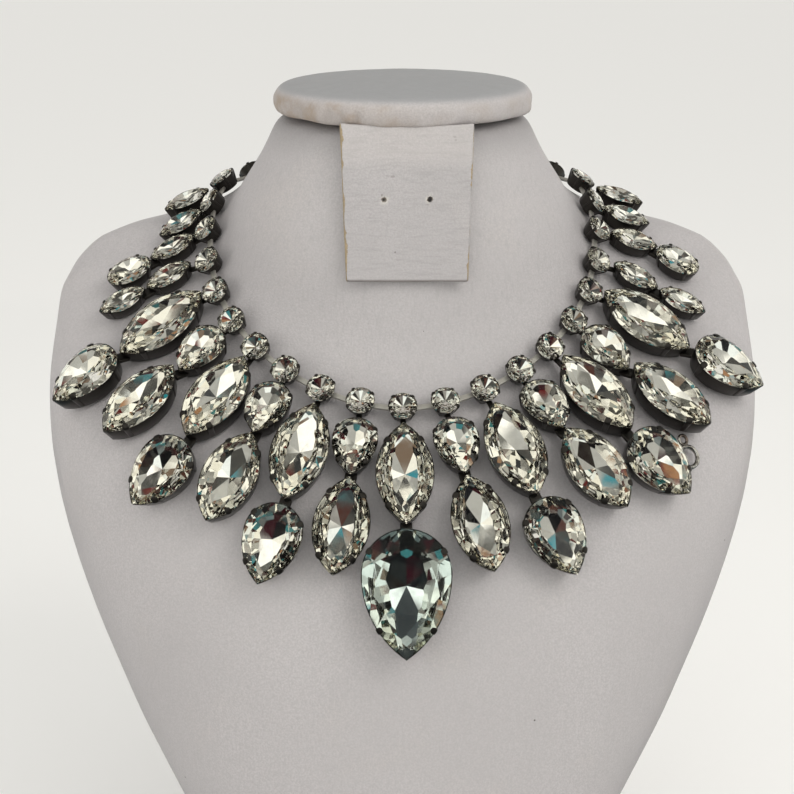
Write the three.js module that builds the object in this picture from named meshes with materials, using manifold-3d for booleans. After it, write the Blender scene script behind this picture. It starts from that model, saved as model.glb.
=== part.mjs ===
import * as THREE from "three";
import { mergeVertices } from "three/addons/utils/BufferGeometryUtils.js";
import Module from "manifold-3d";

// A crystal bib necklace on its padded neck bust. Millimetres, +Z up, the wearer's front towards -Y,
// left and right as seen from the front. The origin is the centre of the bust's base.

const wasm = await Module();
wasm.setup();

// ---------------------------------------------------------------- driving dimensions

const clearance = 0.8; // under each cup, above the bust's skin

// Level sections of the bust's torso and neck, which run into each other at the throat and shoulders:
// half width at the widest line, where that line lies, how far the section reaches to the front and back
// of the base's centre, and how square its corners are (2 is an ellipse).
const torso = [
  { z: 0, half: 50, front: -56, middle: 0, back: 56, square: 2.3 },
  { z: 18, half: 59, front: -56, middle: 6, back: 61, square: 2.3 },
  { z: 35, half: 69, front: -56, middle: 12, back: 67, square: 2.2 },
  { z: 66, half: 87, front: -52, middle: 22, back: 76, square: 2.1 },
  { z: 96, half: 100.5, front: -46, middle: 31, back: 84, square: 2.15 },
  { z: 127, half: 111, front: -36, middle: 40, back: 92, square: 2.3 },
  { z: 142, half: 114, front: -27, middle: 45, back: 95, square: 2.5 },
  { z: 157, half: 115.2, front: -14, middle: 49, back: 98, square: 2.8 },
  { z: 166, half: 115.8, front: -3, middle: 52, back: 100, square: 2.9 },
  { z: 172, half: 116, front: 8, middle: 55, back: 100.5, square: 2.9 },
  { z: 178, half: 115.8, front: 18, middle: 58, back: 101, square: 2.8 },
  { z: 184, half: 115.2, front: 26, middle: 61, back: 101.5, square: 2.7 },
  { z: 190, half: 115, front: 34, middle: 64, back: 102, square: 2.5 },
  { z: 196, half: 113.5, front: 43, middle: 67, back: 103, square: 2.3 },
  { z: 202, half: 109.5, front: 53, middle: 71, back: 103.5, square: 2.2 },
  { z: 207, half: 102, front: 61, middle: 75, back: 103, square: 2.1 },
  { z: 211, half: 90, front: 68, middle: 78, back: 101, square: 2 },
  { z: 214, half: 68, front: 73, middle: 80, back: 97, square: 2 },
  { z: 215.5, half: 52, front: 77, middle: 82, back: 90, square: 2 },
];
const neck = [
  { z: 160, half: 70, front: 12, middle: 60, back: 92, square: 2 },
  { z: 166, half: 70, front: 8, middle: 60, back: 95, square: 2 },
  { z: 172, half: 68, front: 7, middle: 60, back: 97, square: 2 },
  { z: 178, half: 65, front: 7.5, middle: 60, back: 98, square: 2 },
  { z: 184, half: 62, front: 9, middle: 60, back: 99, square: 2 },
  { z: 190, half: 60.5, front: 10.5, middle: 60, back: 100, square: 2 },
  { z: 196, half: 59.5, front: 11.5, middle: 60, back: 100, square: 2 },
  { z: 204, half: 58.5, front: 13, middle: 60, back: 100, square: 2 },
  { z: 212, half: 57.5, front: 15, middle: 60, back: 100, square: 2 },
  { z: 219, half: 56, front: 17.3, middle: 60, back: 100, square: 2 },
  { z: 227, half: 52.5, front: 20, middle: 60, back: 99, square: 2 },
  { z: 238, half: 45.2, front: 23.5, middle: 60, back: 97.5, square: 2 },
  { z: 250, half: 40.2, front: 27.2, middle: 60, back: 93.5, square: 2 },
];
const shoulderFillet = 24; // over how much height and width the neck runs out into the shoulders
const bustAxis = 60; // every section is seen whole from this line above the base's centre
const bustLevels = [0, 18, 35, 66, 96, 112, 127, 142, 150, 157, 163, 168, 173, 178, 183, 187, 191, 194, 197,
  200, 203, 205, 207, 209, 211, 213, 215, 217, 219, 221, 224, 228, 233, 239, 245, 250];
const bustSides = 44;

const cap = { halfWidth: 41.5, halfDepth: 36.5, middle: 60, gap: 0.3, thickness: 9.5, edgeRounding: 4.2 };
const capCrown = { inset: 16, rise: 0.6 };
const capSides = 32;

const flap = { width: 41, aside: 1.3, thickness: 1.8, top: 249.8, bottom: 203.6, clear: 1 };
const flapHoles = { apart: 14, height: 230, diameter: 1.6, length: 12 };

// The chain lies where this sheet meets the bust: it climbs from the throat and levels out at the nape.
const chainSheet = { frontY: -1.8, frontZ: 168.6, climb: 0.72, levelFrom: 56, levelTo: 88 };
const chainPitches = 30;
const chainFrontReach = 6; // rounds to each side in the front chain
const chainLast = 14; // the last round to each side, before the clasp
const roundCup = { radius: 4.6, floorRadius: 3.6, span: 1.5, depth: 3.9, crown: 1.7, table: 2.4 };
const roundSides = 8;
const link = { width: 2.3, thickness: 0.9, height: 1.9 };
const clasp = { length: 13, width: 6.4, thickness: 3.4 };
const sideRing = { column: 4, across: -10.2, along: 4.6, radius: 2.9, wire: 0.45 };
const sideLink = { length: 4.6, width: 2.6, wire: 0.36, reach: 0.5, turn: -30 };

// Cuts of crystal: full length and width, then crown, pavilion and cup depths. A pear has one round end.
const cuts = {
  largeMarquise: { length: 31.4, width: 16.6, crown: 3.0, pavilion: 4.1, cup: 5.2, shape: "marquise" },
  outerMarquise: { length: 29, width: 16.2, crown: 3.0, pavilion: 4.1, cup: 5.2, shape: "marquise" },
  smallPear: { length: 18, width: 13, crown: 2.5, pavilion: 3.4, cup: 4.4, shape: "pear" },
  outerPear: { length: 23.8, width: 17, crown: 3.0, pavilion: 4.1, cup: 5.2, shape: "pear" },
  dropPear: { length: 37, width: 25.6, crown: 4.0, pavilion: 5.6, cup: 6.8, shape: "pear" },
  smallMarquise: { length: 15.5, width: 7.6, crown: 2.0, pavilion: 2.6, cup: 3.9, shape: "marquise" },
  smallOval: { length: 14.5, width: 9.6, crown: 2.1, pavilion: 2.8, cup: 3.9, shape: "oval" },
};
const stoneLift = 0.35; // between a cup's rim and its stone's girdle
const tableScale = 0.56;
const culetScale = 0.22;
const cupWall = { outside: 0.55, inside: -0.1, floorOutside: -0.9, floorInside: -1.7, floor: 0.8 };
const quarterSteps = 3; // straight steps in each quarter of an outline

// Columns of the bib, counted outwards from the centre, on both sides. Shift is how far a column's top end
// sits along the chain from its round, and start is from there to the rim of the top cup. Spacing is between
// the rims of its two cups, measured over the skin; it's below zero where the skin bends the rims apart.
const columns = [
  { number: 0, upper: "largeMarquise", lower: "dropPear", start: 6, spacing: -1.3, shift: 0 },
  { number: 1, upper: "smallPear", lower: "outerMarquise", start: 6, spacing: -0.4, shift: 0 },
  { number: 2, upper: "largeMarquise", lower: "outerPear", start: 6.8, spacing: -1.1, shift: 0 },
  { number: 3, upper: "smallPear", lower: "outerMarquise", start: 6.4, spacing: -0.9, shift: 0 },
  { number: 4, upper: "largeMarquise", lower: "outerPear", start: 6.6, spacing: -1.3, shift: 0 },
  { number: 5, upper: "smallPear", lower: "outerMarquise", start: 6, spacing: 0.5, shift: 1.5 },
  { number: 6, upper: "largeMarquise", lower: "outerPear", start: 5.8, spacing: 0, shift: 3 },
  { number: 7, upper: "smallMarquise", lower: "smallMarquise", start: 8, spacing: 0.5, shift: 4.5 },
  { number: 8, upper: "smallMarquise", lower: "smallOval", start: 7, spacing: 0.5, shift: 2 },
  { number: 9, upper: "smallMarquise", start: 7, shift: 1 },
  { number: 10, upper: "smallMarquise", start: 7, shift: 0 },
];
// How each column leans outwards, in degrees from straight down the front, and what its lower cup adds.
const leans = [
  { left: 0, leftBend: 0, right: 1.5, rightBend: -1.5 },
  { left: 6, leftBend: 3, right: 13, rightBend: 2 },
  { left: 14, leftBend: 3, right: 21, rightBend: 6 },
  { left: 19.5, leftBend: 5, right: 28, rightBend: 8 },
  { left: 27.5, leftBend: 12, right: 34, rightBend: 11 },
  { left: 36, leftBend: 3, right: 38, rightBend: 7 },
  { left: 46, leftBend: 0, right: 50, rightBend: 10 },
  { left: 52, leftBend: 1, right: 51, rightBend: 3 },
  { left: 53, leftBend: -8, right: 66, rightBend: -26 },
  { left: 38, leftBend: 0, right: 52, rightBend: 0 },
  { left: 40, leftBend: 0, right: 50, rightBend: 0 },
];
const bridge = { width: 4.6, thickness: 1.6, height: 2.2, reach: 1.4 };
const smallestClawed = 12; // cups narrower than this have no claws of their own
// A claw's place along its half of the outline, and its width and reach over the stone in claw sizes, where
// a size is a share of the cup's width. It runs from its foot in the cup's wall over the stone's edge.
const claw = { place: 0.62, width: 1.2, reach: 1.5, share: 1 / 14, smallest: 0.75, largest: 1.3 };
const clawFoot = { inside: -0.2, outside: 0.3, below: 0.6 };
const clawKnee = { inside: 0.25, outside: 0.85, above: 0.3 };
const clawTip = { outside: -0.45, width: 0.96, above: 2.1 };

// ---------------------------------------------------------------- materials

function finish(color, roughness, metalness) {
  return new THREE.MeshStandardMaterial({ color, roughness, metalness });
}

const leatherette = finish(0xc8c3c4, 0.55, 0);
const gunmetal = finish(0x3a3836, 0.35, 1);
const crystal = finish(0xe6e4dc, 0.05, 0.6);
const brightMetal = finish(0xc9c6bf, 0.25, 1);

// ---------------------------------------------------------------- solids

const straightness = (from, to) => from.distanceTo(to);

/**
 * Closed skin over rings of equal count, each counter-clockwise as seen from the last. Every quad is creased
 * along the diagonal that costs less.
 */
function loft(rings, cost = straightness) {
  const count = rings[0].length;
  const points = rings.flat();
  const positions = points.flatMap((point) => [point.x, point.y, point.z]);
  const faces = [];
  for (let ring = 0; ring + 1 < rings.length; ring++) {
    for (let i = 0; i < count; i++) {
      const a = ring * count + i;
      const b = ring * count + ((i + 1) % count);
      const [c, d] = [b + count, a + count];
      if (cost(points[a], points[c]) < cost(points[b], points[d])) faces.push(a, b, c, a, c, d);
      else faces.push(a, b, d, b, c, d);
    }
  }
  const last = (rings.length - 1) * count;
  for (let i = 1; i + 1 < count; i++) {
    faces.push(0, i + 1, i, last, last + i, last + i + 1);
  }
  const geometry = new THREE.BufferGeometry();
  geometry.setAttribute("position", new THREE.Float32BufferAttribute(positions, 3));
  geometry.setIndex(faces);
  return geometry;
}

function toSolid(geometry) {
  const bare = geometry.clone();
  bare.deleteAttribute("normal");
  bare.deleteAttribute("uv");
  const merged = mergeVertices(bare, 1e-5);
  const vertProperties = new Float32Array(merged.attributes.position.array);
  const triVerts = new Uint32Array(merged.index.array);
  return new wasm.Manifold(new wasm.Mesh({ numProp: 3, vertProperties, triVerts }));
}

function toGeometry(solid) {
  const mesh = solid.getMesh();
  const geometry = new THREE.BufferGeometry();
  geometry.setAttribute("position", new THREE.BufferAttribute(new Float32Array(mesh.vertProperties), 3));
  geometry.setIndex(new THREE.BufferAttribute(new Uint32Array(mesh.triVerts), 1));
  return geometry;
}

function join(geometries) {
  return toGeometry(geometries.map(toSolid).reduce((whole, piece) => whole.add(piece)));
}

/** Straight bar of rectangular section between two points, flat across the given normal. */
function bar(from, to, normal, width, thickness) {
  const along = to.clone().sub(from).normalize();
  const side = new THREE.Vector3().crossVectors(along, normal).normalize();
  const up = new THREE.Vector3().crossVectors(side, along);
  const section = (centre) =>
    [[-1, -1], [1, -1], [1, 1], [-1, 1]].map(([u, v]) =>
      centre.clone().addScaledVector(side, (u * width) / 2).addScaledVector(up, (v * thickness) / 2)
    );
  return loft([section(to), section(from)]);
}

// ---------------------------------------------------------------- the bust's skin

/** Smooth curve through one column of a table, which never overshoots its rows. */
function throughRows(rows, key) {
  const steps = rows.slice(1).map((row, i) => (row[key] - rows[i][key]) / (row.z - rows[i].z));
  const slopes = rows.map((_, i) => {
    const before = steps[Math.max(i - 1, 0)];
    const after = steps[Math.min(i, steps.length - 1)];
    return before * after > 0 ? (2 * before * after) / (before + after) : 0;
  });
  return (z) => {
    const clamped = THREE.MathUtils.clamp(z, rows[0].z, rows[rows.length - 1].z);
    const upper = Math.max(1, rows.findIndex((row) => row.z >= clamped));
    const span = rows[upper].z - rows[upper - 1].z;
    const t = (clamped - rows[upper - 1].z) / span;
    const ease = t ** 2 * (3 - 2 * t);
    const values = rows[upper - 1][key] * (1 - ease) + rows[upper][key] * ease;
    return values + span * (slopes[upper - 1] * t * (1 - t) ** 2 + slopes[upper] * t ** 2 * (t - 1));
  };
}

const sectionKeys = ["half", "front", "middle", "back", "square"];

/** Field of a table of level sections: zero on its skin, negative inside, roughly in millimetres. */
function sectionField(rows) {
  const curves = sectionKeys.map((key) => throughRows(rows, key));
  const [bottom, top] = [rows[0].z, rows[rows.length - 1].z];
  return (point) => {
    const [half, front, middle, back, square] = curves.map((curve) => curve(point.z));
    const y = point.y - middle;
    const reach = y < 0 ? middle - front : back - middle;
    const share = ((Math.abs(point.x) / half) ** square + (Math.abs(y) / reach) ** square) ** (1 / square);
    return (share - 1) * Math.min(half, reach) + Math.max(0, bottom - point.z, point.z - top);
  };
}

const torsoMiddle = throughRows(torso, "middle");
const torsoField = sectionField(torso);
const neckField = sectionField(neck);

function bustField(point) {
  const fields = [torsoField(point), neckField(point)];
  const blend = Math.max(0, 1 - Math.abs(fields[0] - fields[1]) / shoulderFillet);
  return Math.min(...fields) - (shoulderFillet * blend ** 2) / 4;
}

/** Point of the skin on a ray from inside, where the ray is a function of its length. */
function skinAlong(ray) {
  let inside = 5;
  let outside = 140;
  for (let halving = 0; halving < 30; halving++) {
    const length = (inside + outside) / 2;
    if (bustField(ray(length)) < 0) inside = length;
    else outside = length;
  }
  return ray(inside);
}

function bustGradient(point) {
  const step = 0.05;
  const slope = (axis) => {
    const ahead = point.clone();
    const behind = point.clone();
    ahead[axis] += step;
    behind[axis] -= step;
    return (bustField(ahead) - bustField(behind)) / (2 * step);
  };
  return new THREE.Vector3(slope("x"), slope("y"), slope("z"));
}

const skinNormal = (point) => bustGradient(point).normalize();
const skinDistance = (point) => bustField(point) / bustGradient(point).length();

function ontoSkin(point) {
  const settled = point.clone();
  for (let pass = 0; pass < 5; pass++) {
    settled.addScaledVector(skinNormal(settled), -skinDistance(settled));
  }
  return settled;
}

function bustBody() {
  const ring = (z) => {
    const axis = Math.min(bustAxis, torsoMiddle(z));
    return Array.from({ length: bustSides }, (_, i) => {
      const angle = (2 * Math.PI * i) / bustSides;
      const [x, y] = [Math.cos(angle), Math.sin(angle)];
      return skinAlong((length) => new THREE.Vector3(length * x, axis + length * y, z));
    });
  };
  const offSkin = (from, to) => Math.abs(bustField(from.clone().lerp(to, 0.5)));
  return loft(bustLevels.map(ring), offSkin);
}

function bustCap() {
  const base = neck[neck.length - 1].z + cap.gap;
  const r = cap.edgeRounding;
  const angles = [-90, -45, 0, 45, 90].map(THREE.MathUtils.degToRad);
  const edge = angles.map((angle) => {
    const height = angle < 0 ? r + r * Math.sin(angle) : cap.thickness - r + r * Math.sin(angle);
    return { inset: r - r * Math.cos(angle), height };
  });
  const crown = { inset: capCrown.inset, height: cap.thickness + capCrown.rise };
  const ring = ({ inset, height }) =>
    Array.from({ length: capSides }, (_, i) => {
      const angle = (2 * Math.PI * i) / capSides;
      const x = (cap.halfWidth - inset) * Math.cos(angle);
      const y = cap.middle + (cap.halfDepth - inset) * Math.sin(angle);
      return new THREE.Vector3(x, y, base + height);
    });
  return loft([...edge, crown].map(ring));
}

/** Flat flap that hangs from under the cap, clear of the neck, with two small holes side by side. */
function earringFlap() {
  const skinY = throughRows(neck, "front");
  const lean = (skinY(flap.top) - skinY(flap.bottom)) / (flap.top - flap.bottom);
  const backY = (z) => skinY(flap.bottom) + lean * (z - flap.bottom) - flap.clear;
  const corner = (x, z, depth) => new THREE.Vector3(x, backY(z) - depth, z);
  const [left, right] = [flap.aside - flap.width / 2, flap.aside + flap.width / 2];
  const face = (depth) => [
    corner(left, flap.bottom, depth),
    corner(right, flap.bottom, depth),
    corner(right, flap.top, depth),
    corner(left, flap.top, depth),
  ];
  const plate = loft([face(0), face(flap.thickness)]);
  const holes = [-1, 1].map((side) => {
    const { apart, height, diameter, length } = flapHoles;
    const hole = new THREE.CylinderGeometry(diameter / 2, diameter / 2, length, 8);
    return hole.translate(flap.aside + (side * apart) / 2, backY(height), height);
  });
  return toGeometry(holes.map(toSolid).reduce((whole, hole) => whole.subtract(hole), toSolid(plate)));
}

// ---------------------------------------------------------------- outlines, stones and cups

/** Half length of an outline on its pointed side (+Y) and on its other side (-Y). */
function outlineReach(cut) {
  const half = cut.width / 2;
  return cut.shape === "pear" ? [cut.length - half, half] : [cut.length / 2, cut.length / 2];
}

/** One quarter of an outline, from its widest point to its end, as [x, y] pairs. */
function outlineQuarter(half, reach, shape) {
  const radius = (half ** 2 + reach ** 2) / (2 * half);
  const sweep = Math.asin(Math.min(1, reach / radius));
  return Array.from({ length: quarterSteps + 1 }, (_, i) => {
    const share = i / quarterSteps;
    if (shape === "oval") {
      return [half * Math.cos((share * Math.PI) / 2), reach * Math.sin((share * Math.PI) / 2)];
    }
    const angle = share * sweep;
    return [radius * Math.cos(angle) - (radius - half), radius * Math.sin(angle)];
  });
}

/** Outline of a cut grown by a margin and scaled, at a height, counter-clockwise from above. */
function outline(cut, height, { margin = 0, scale = 1 } = {}) {
  const half = cut.width / 2 + margin;
  const [ahead, behind] = outlineReach(cut).map((reach) => reach + margin);
  const front = outlineQuarter(half, ahead, cut.shape);
  const rear = outlineQuarter(half, behind, cut.shape);
  const offset = (behind - ahead) / 2;
  const place = (x, y) => new THREE.Vector3(x * scale, (y + offset) * scale, height);
  return [
    ...front.slice(0, -1).map(([x, y]) => place(x, y)),
    ...front.slice(1).reverse().map(([x, y]) => place(-x, y)),
    ...rear.slice(0, -1).map(([x, y]) => place(-x, -y)),
    ...rear.slice(1).reverse().map(([x, y]) => place(x, -y)),
  ];
}

function stone(cut) {
  const low = cut.cup + stoneLift;
  return loft([
    outline(cut, low - cut.pavilion, { scale: culetScale }),
    outline(cut, low),
    outline(cut, low + cut.crown, { scale: tableScale }),
  ]);
}

function cup(cut) {
  return loft([
    outline(cut, 0, { margin: cupWall.floorOutside }),
    outline(cut, cut.cup, { margin: cupWall.outside }),
    outline(cut, cut.cup, { margin: cupWall.inside }),
    outline(cut, cupWall.floor, { margin: cupWall.floorInside }),
  ]);
}

/** Where a claw stands on an outline's quarter, and the way out from there, both on the positive side. */
function clawStand(cut, end) {
  const reach = outlineReach(cut)[end];
  const half = cut.width / 2;
  const y = claw.place * reach;
  if (cut.shape === "oval") {
    const x = half * Math.sqrt(1 - claw.place ** 2);
    return { x, y, outward: new THREE.Vector3(x / half ** 2, y / reach ** 2, 0).normalize() };
  }
  const radius = (half ** 2 + reach ** 2) / (2 * half);
  const x = Math.sqrt(radius ** 2 - y ** 2) - radius + half;
  return { x, y, outward: new THREE.Vector3(x + radius - half, y, 0).normalize() };
}

/** Four claws that rise from a cup's wall and turn in over the stone's edge. */
function claws(cut) {
  const [ahead, behind] = outlineReach(cut);
  const size = THREE.MathUtils.clamp(cut.width * claw.share, claw.smallest, claw.largest);
  const top = cut.cup + stoneLift;
  return [0, 1].flatMap((end) => {
    const { x, y, outward } = clawStand(cut, end);
    return [-1, 1].map((side) => {
      const flip = new THREE.Vector3(side, end === 0 ? 1 : -1, 1);
      const foot = new THREE.Vector3(x, y, 0).multiply(flip);
      const out = outward.clone().multiply(flip);
      const across = new THREE.Vector3(-out.y, out.x, 0);
      foot.y += (behind - ahead) / 2;
      const corner = (margin, aside, height) =>
        foot.clone().addScaledVector(out, margin).addScaledVector(across, aside).setZ(height);
      const section = (inside, outside, height, width) => [
        corner(inside, (-width * size) / 2, height),
        corner(outside, 0, height),
        corner(inside, (width * size) / 2, height),
      ];
      return loft([
        section(clawFoot.inside, clawFoot.outside, cut.cup - clawFoot.below, claw.width),
        section(clawKnee.inside, clawKnee.outside, top + clawKnee.above, claw.width),
        section(-claw.reach * size, clawTip.outside * size, top + clawTip.above * size, clawTip.width),
      ]);
    });
  });
}

// ---------------------------------------------------------------- routes over the skin

function chainSheetHeight(y) {
  const { frontY, frontZ, climb, levelFrom, levelTo } = chainSheet;
  const straight = Math.min(y, levelFrom) - frontY;
  const past = THREE.MathUtils.clamp((y - levelFrom) / (levelTo - levelFrom), 0, 1);
  return frontZ + climb * straight + climb * (levelTo - levelFrom) * (past - past ** 2 / 2);
}

/** Half of the chain's route, from the throat round the right side to the nape. */
function chainRoute() {
  const steps = 360;
  return Array.from({ length: steps + 1 }, (_, i) => {
    const angle = (Math.PI * i) / steps;
    return skinAlong((length) => {
      const y = bustAxis - length * Math.cos(angle);
      return new THREE.Vector3(length * Math.sin(angle), y, chainSheetHeight(y));
    });
  });
}

function routeLength(points) {
  return points.slice(1).reduce((sum, point, i) => sum + point.distanceTo(points[i]), 0);
}

function pointAlong(points, distance) {
  let left = distance;
  for (let i = 1; i < points.length; i++) {
    const step = points[i].distanceTo(points[i - 1]);
    if (left <= step || i === points.length - 1) return points[i - 1].clone().lerp(points[i], left / step);
    left -= step;
  }
  return points[points.length - 1].clone();
}

const halfChain = chainRoute();
const chainPitch = (2 * routeLength(halfChain)) / chainPitches;

/** Point of the chain at a round's number, negative to the left. */
function chainPoint(number) {
  const point = pointAlong(halfChain, Math.abs(number) * chainPitch);
  if (number < 0) point.x = -point.x;
  return point;
}

/** Straightest path over the skin from a point, in one-millimetre steps. */
function skinPath(start, direction, length) {
  const path = [start.clone()];
  let heading = direction.clone();
  for (let step = 0; step < length; step++) {
    const next = ontoSkin(path[step].clone().add(heading));
    const normal = skinNormal(next);
    heading = next.clone().sub(path[step]);
    heading.addScaledVector(normal, -heading.dot(normal)).normalize();
    path.push(next);
  }
  return path;
}

/** Heading straight down the front at a point of the skin, swung outwards to the given side. */
function headingDown(point, swing, side) {
  const normal = skinNormal(point);
  const down = new THREE.Vector3(0, -0.6, -0.8);
  down.addScaledVector(normal, -down.dot(normal)).normalize();
  return down.applyAxisAngle(normal, THREE.MathUtils.degToRad(swing) * side);
}

/** Frame of a cup whose floor rests over the skin: +Y along its length, +Z off the skin. */
function seat(from, to, footprint) {
  const along = to.clone().sub(from).normalize();
  const centre = from.clone().add(to).multiplyScalar(0.5);
  const normal = skinNormal(ontoSkin(centre));
  normal.addScaledVector(along, -normal.dot(along)).normalize();
  const side = new THREE.Vector3().crossVectors(along, normal);
  const frame = new THREE.Matrix4().makeBasis(side, along, normal);
  const inner = footprint.map((point) => point.clone().multiplyScalar(0.5));
  const shortfall = (point) => clearance - skinDistance(point.clone().applyMatrix4(frame).add(centre));
  const lift = Math.max(...[...footprint, ...inner, new THREE.Vector3()].map(shortfall));
  return frame.setPosition(centre.addScaledVector(normal, lift));
}

// ---------------------------------------------------------------- the necklace

const round = loft(
  [
    [roundCup.floorRadius, 0],
    [roundCup.radius, roundCup.depth],
    [roundCup.table, roundCup.depth + roundCup.crown],
  ].map(([radius, height]) =>
    Array.from({ length: roundSides }, (_, i) => {
      const angle = (2 * Math.PI * (i + 0.5)) / roundSides;
      return new THREE.Vector3(radius * Math.cos(angle), radius * Math.sin(angle), height);
    })
  )
);

function roundSeat(number) {
  const from = chainPoint(number - roundCup.span / chainPitch);
  const to = chainPoint(number + roundCup.span / chainPitch);
  const floor = { shape: "oval", width: 2 * roundCup.floorRadius, length: 2 * roundCup.floorRadius };
  return seat(from, to, outline(floor, 0));
}

const atSeat = (frame, x, y, z) => new THREE.Vector3(x, y, z).applyMatrix4(frame);
const normalOf = (frame) => new THREE.Vector3().setFromMatrixColumn(frame, 2);

function linkBar(number) {
  const near = roundSeat(number);
  const far = roundSeat(number + 1);
  const from = atSeat(near, 0, 0, link.height);
  const to = atSeat(far, 0, 0, link.height);
  return bar(from, to, normalOf(near).add(normalOf(far)).normalize(), link.width, link.thickness);
}

/** Seats of one column's cups, from the chain down. */
function columnSeats(column, side) {
  const lean = leans[column.number];
  const swing = side < 0 ? lean.left : lean.right;
  const bend = side < 0 ? lean.leftBend : lean.rightBend;
  const start = chainPoint((column.number + column.shift / chainPitch) * side);
  const names = [column.upper, column.lower].filter(Boolean);
  let origin = start;
  let heading = headingDown(start, swing, side);
  let distance = column.start;
  return names.map((name) => {
    const cut = cuts[name];
    const length = cut.length + 2 * cupWall.outside;
    const path = skinPath(origin, heading, distance + length + 2);
    const from = pointAlong(path, distance);
    const to = pointAlong(path, distance + length);
    const frame = seat(from, to, outline(cut, 0, { margin: cupWall.floorOutside }));
    origin = pointAlong(path, distance + length);
    heading = pointAlong(path, distance + length + 1).sub(origin).normalize();
    heading.applyAxisAngle(skinNormal(origin), THREE.MathUtils.degToRad(bend) * side);
    distance = column.spacing;
    return { cut, frame };
  });
}

function clawedCup({ cut, frame }) {
  const pieces = cut.width > smallestClawed ? [cup(cut), ...claws(cut)] : [cup(cut)];
  return pieces.map((piece) => piece.applyMatrix4(frame));
}

/** Bar soldered between two cups of a column. */
function bridgeBar(upper, lower) {
  const from = atSeat(upper.frame, 0, upper.cut.length / 2 - bridge.reach, bridge.height);
  const to = atSeat(lower.frame, 0, -lower.cut.length / 2 + bridge.reach, bridge.height);
  const normal = normalOf(upper.frame).add(normalOf(lower.frame)).normalize();
  return bar(from, to, normal, bridge.width, bridge.thickness);
}

/** Bar soldered between a round of the chain and the cup below it. */
function hookBar(number, { cut, frame }) {
  const roundFrame = roundSeat(number);
  const from = atSeat(roundFrame, 0, 0, link.height);
  const to = atSeat(frame, 0, -cut.length / 2 + bridge.reach, bridge.height);
  return bar(from, to, normalOf(roundFrame).add(normalOf(frame)).normalize(), link.width, link.thickness);
}

function setting(seats) {
  const bridges = seats.slice(1).map((lower, i) => bridgeBar(seats[i], lower));
  return join([...seats.flatMap(clawedCup), ...bridges]);
}

/** A run of the chain, with the cups of the columns that are soldered to it. */
function chain(first, last, solderedSeats) {
  const numbers = Array.from({ length: last - first + 1 }, (_, i) => first + i);
  const rounds = numbers.map((number) => round.clone().applyMatrix4(roundSeat(number)));
  const links = numbers.slice(0, -1).map(linkBar);
  const columnsOfCups = solderedSeats.flatMap(({ number, seats }) => {
    const bridges = seats.slice(1).map((lower, i) => bridgeBar(seats[i], lower));
    return [...seats.flatMap(clawedCup), hookBar(number, seats[0]), ...bridges];
  });
  return join([...rounds, ...links, ...columnsOfCups]);
}

function napeClasp() {
  const from = chainPoint(chainPitches / 2 - 0.4);
  const to = from.clone().setX(-from.x);
  const outlinePoints = [[-1, -1], [1, -1], [1, 1], [-1, 1]].map(
    ([u, v]) => new THREE.Vector3((u * clasp.width) / 2, (v * clasp.length) / 2, 0)
  );
  const frame = seat(from, to, outlinePoints);
  const shape = new THREE.Shape();
  const end = clasp.length / 2 - clasp.width / 2;
  shape.absarc(0, end, clasp.width / 2, 0, Math.PI);
  shape.absarc(0, -end, clasp.width / 2, Math.PI, 2 * Math.PI);
  const settings = { depth: clasp.thickness, bevelEnabled: false, curveSegments: 6 };
  return new THREE.ExtrudeGeometry(shape, settings).applyMatrix4(frame);
}

/** Open ring with a small oval link, lying beside the lower cup of one of the right-hand columns. */
function ringAndLink() {
  const { cut, frame } = columnSeats(columns[sideRing.column], 1)[1];
  const along = new THREE.Vector3().setFromMatrixColumn(frame, 1);
  const centre = atSeat(frame, sideRing.across, sideRing.along, 0);
  const from = centre.clone().addScaledVector(along, -1);
  const to = centre.clone().addScaledVector(along, 1);
  const rim = outline({ shape: "oval", width: 2 * sideRing.radius, length: 2 * sideRing.radius }, 0);
  const ring = new THREE.TorusGeometry(sideRing.radius, sideRing.wire, 6, 16);
  const oval = new THREE.TorusGeometry(sideLink.width / 2, sideLink.wire, 6, 10);
  oval.scale(1, sideLink.length / sideLink.width, 1);
  oval.translate(0, sideLink.reach - sideRing.radius - sideLink.length / 2, 0);
  oval.rotateZ(THREE.MathUtils.degToRad(sideLink.turn));
  return join([ring, oval]).translate(0, 0, sideRing.wire).applyMatrix4(seat(from, to, rim));
}

// ---------------------------------------------------------------- the whole object

const model = new THREE.Group();

function addPiece(name, geometry, material) {
  const mesh = new THREE.Mesh(geometry, material.clone());
  mesh.name = name;
  model.add(mesh);
}

addPiece("bust_body", bustBody(), leatherette);
addPiece("bust_cap", bustCap(), leatherette);
addPiece("earring_flap", earringFlap(), leatherette);

const soldered = { "-1": [], 1: [] };
for (const column of columns) {
  for (const side of column.number === 0 ? [1] : [-1, 1]) {
    const seats = columnSeats(column, side);
    const place = column.number === 0 ? "centre" : `${side < 0 ? "left" : "right"}_${column.number}`;
    seats.forEach(({ cut, frame }, i) => {
      const level = seats.length === 1 ? "" : i === 0 ? "_upper" : "_lower";
      addPiece(`crystal_${place}${level}`, stone(cut).applyMatrix4(frame), crystal);
    });
    if (column.number <= chainFrontReach) addPiece(`setting_${place}`, setting(seats), gunmetal);
    else soldered[side].push({ number: column.number * side, seats });
  }
}

addPiece("chain_front", chain(-chainFrontReach, chainFrontReach, []), gunmetal);
addPiece("chain_left", chain(-chainLast, -chainFrontReach - 1, soldered[-1]), gunmetal);
addPiece("chain_right", chain(chainFrontReach + 1, chainLast, soldered[1]), gunmetal);
addPiece("nape_clasp", napeClasp(), brightMetal);
addPiece("side_ring", ringAndLink(), brightMetal);

export default model;
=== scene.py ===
"""Looks of a crystal bib necklace on its padded neck bust, built around the necklace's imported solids."""

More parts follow.
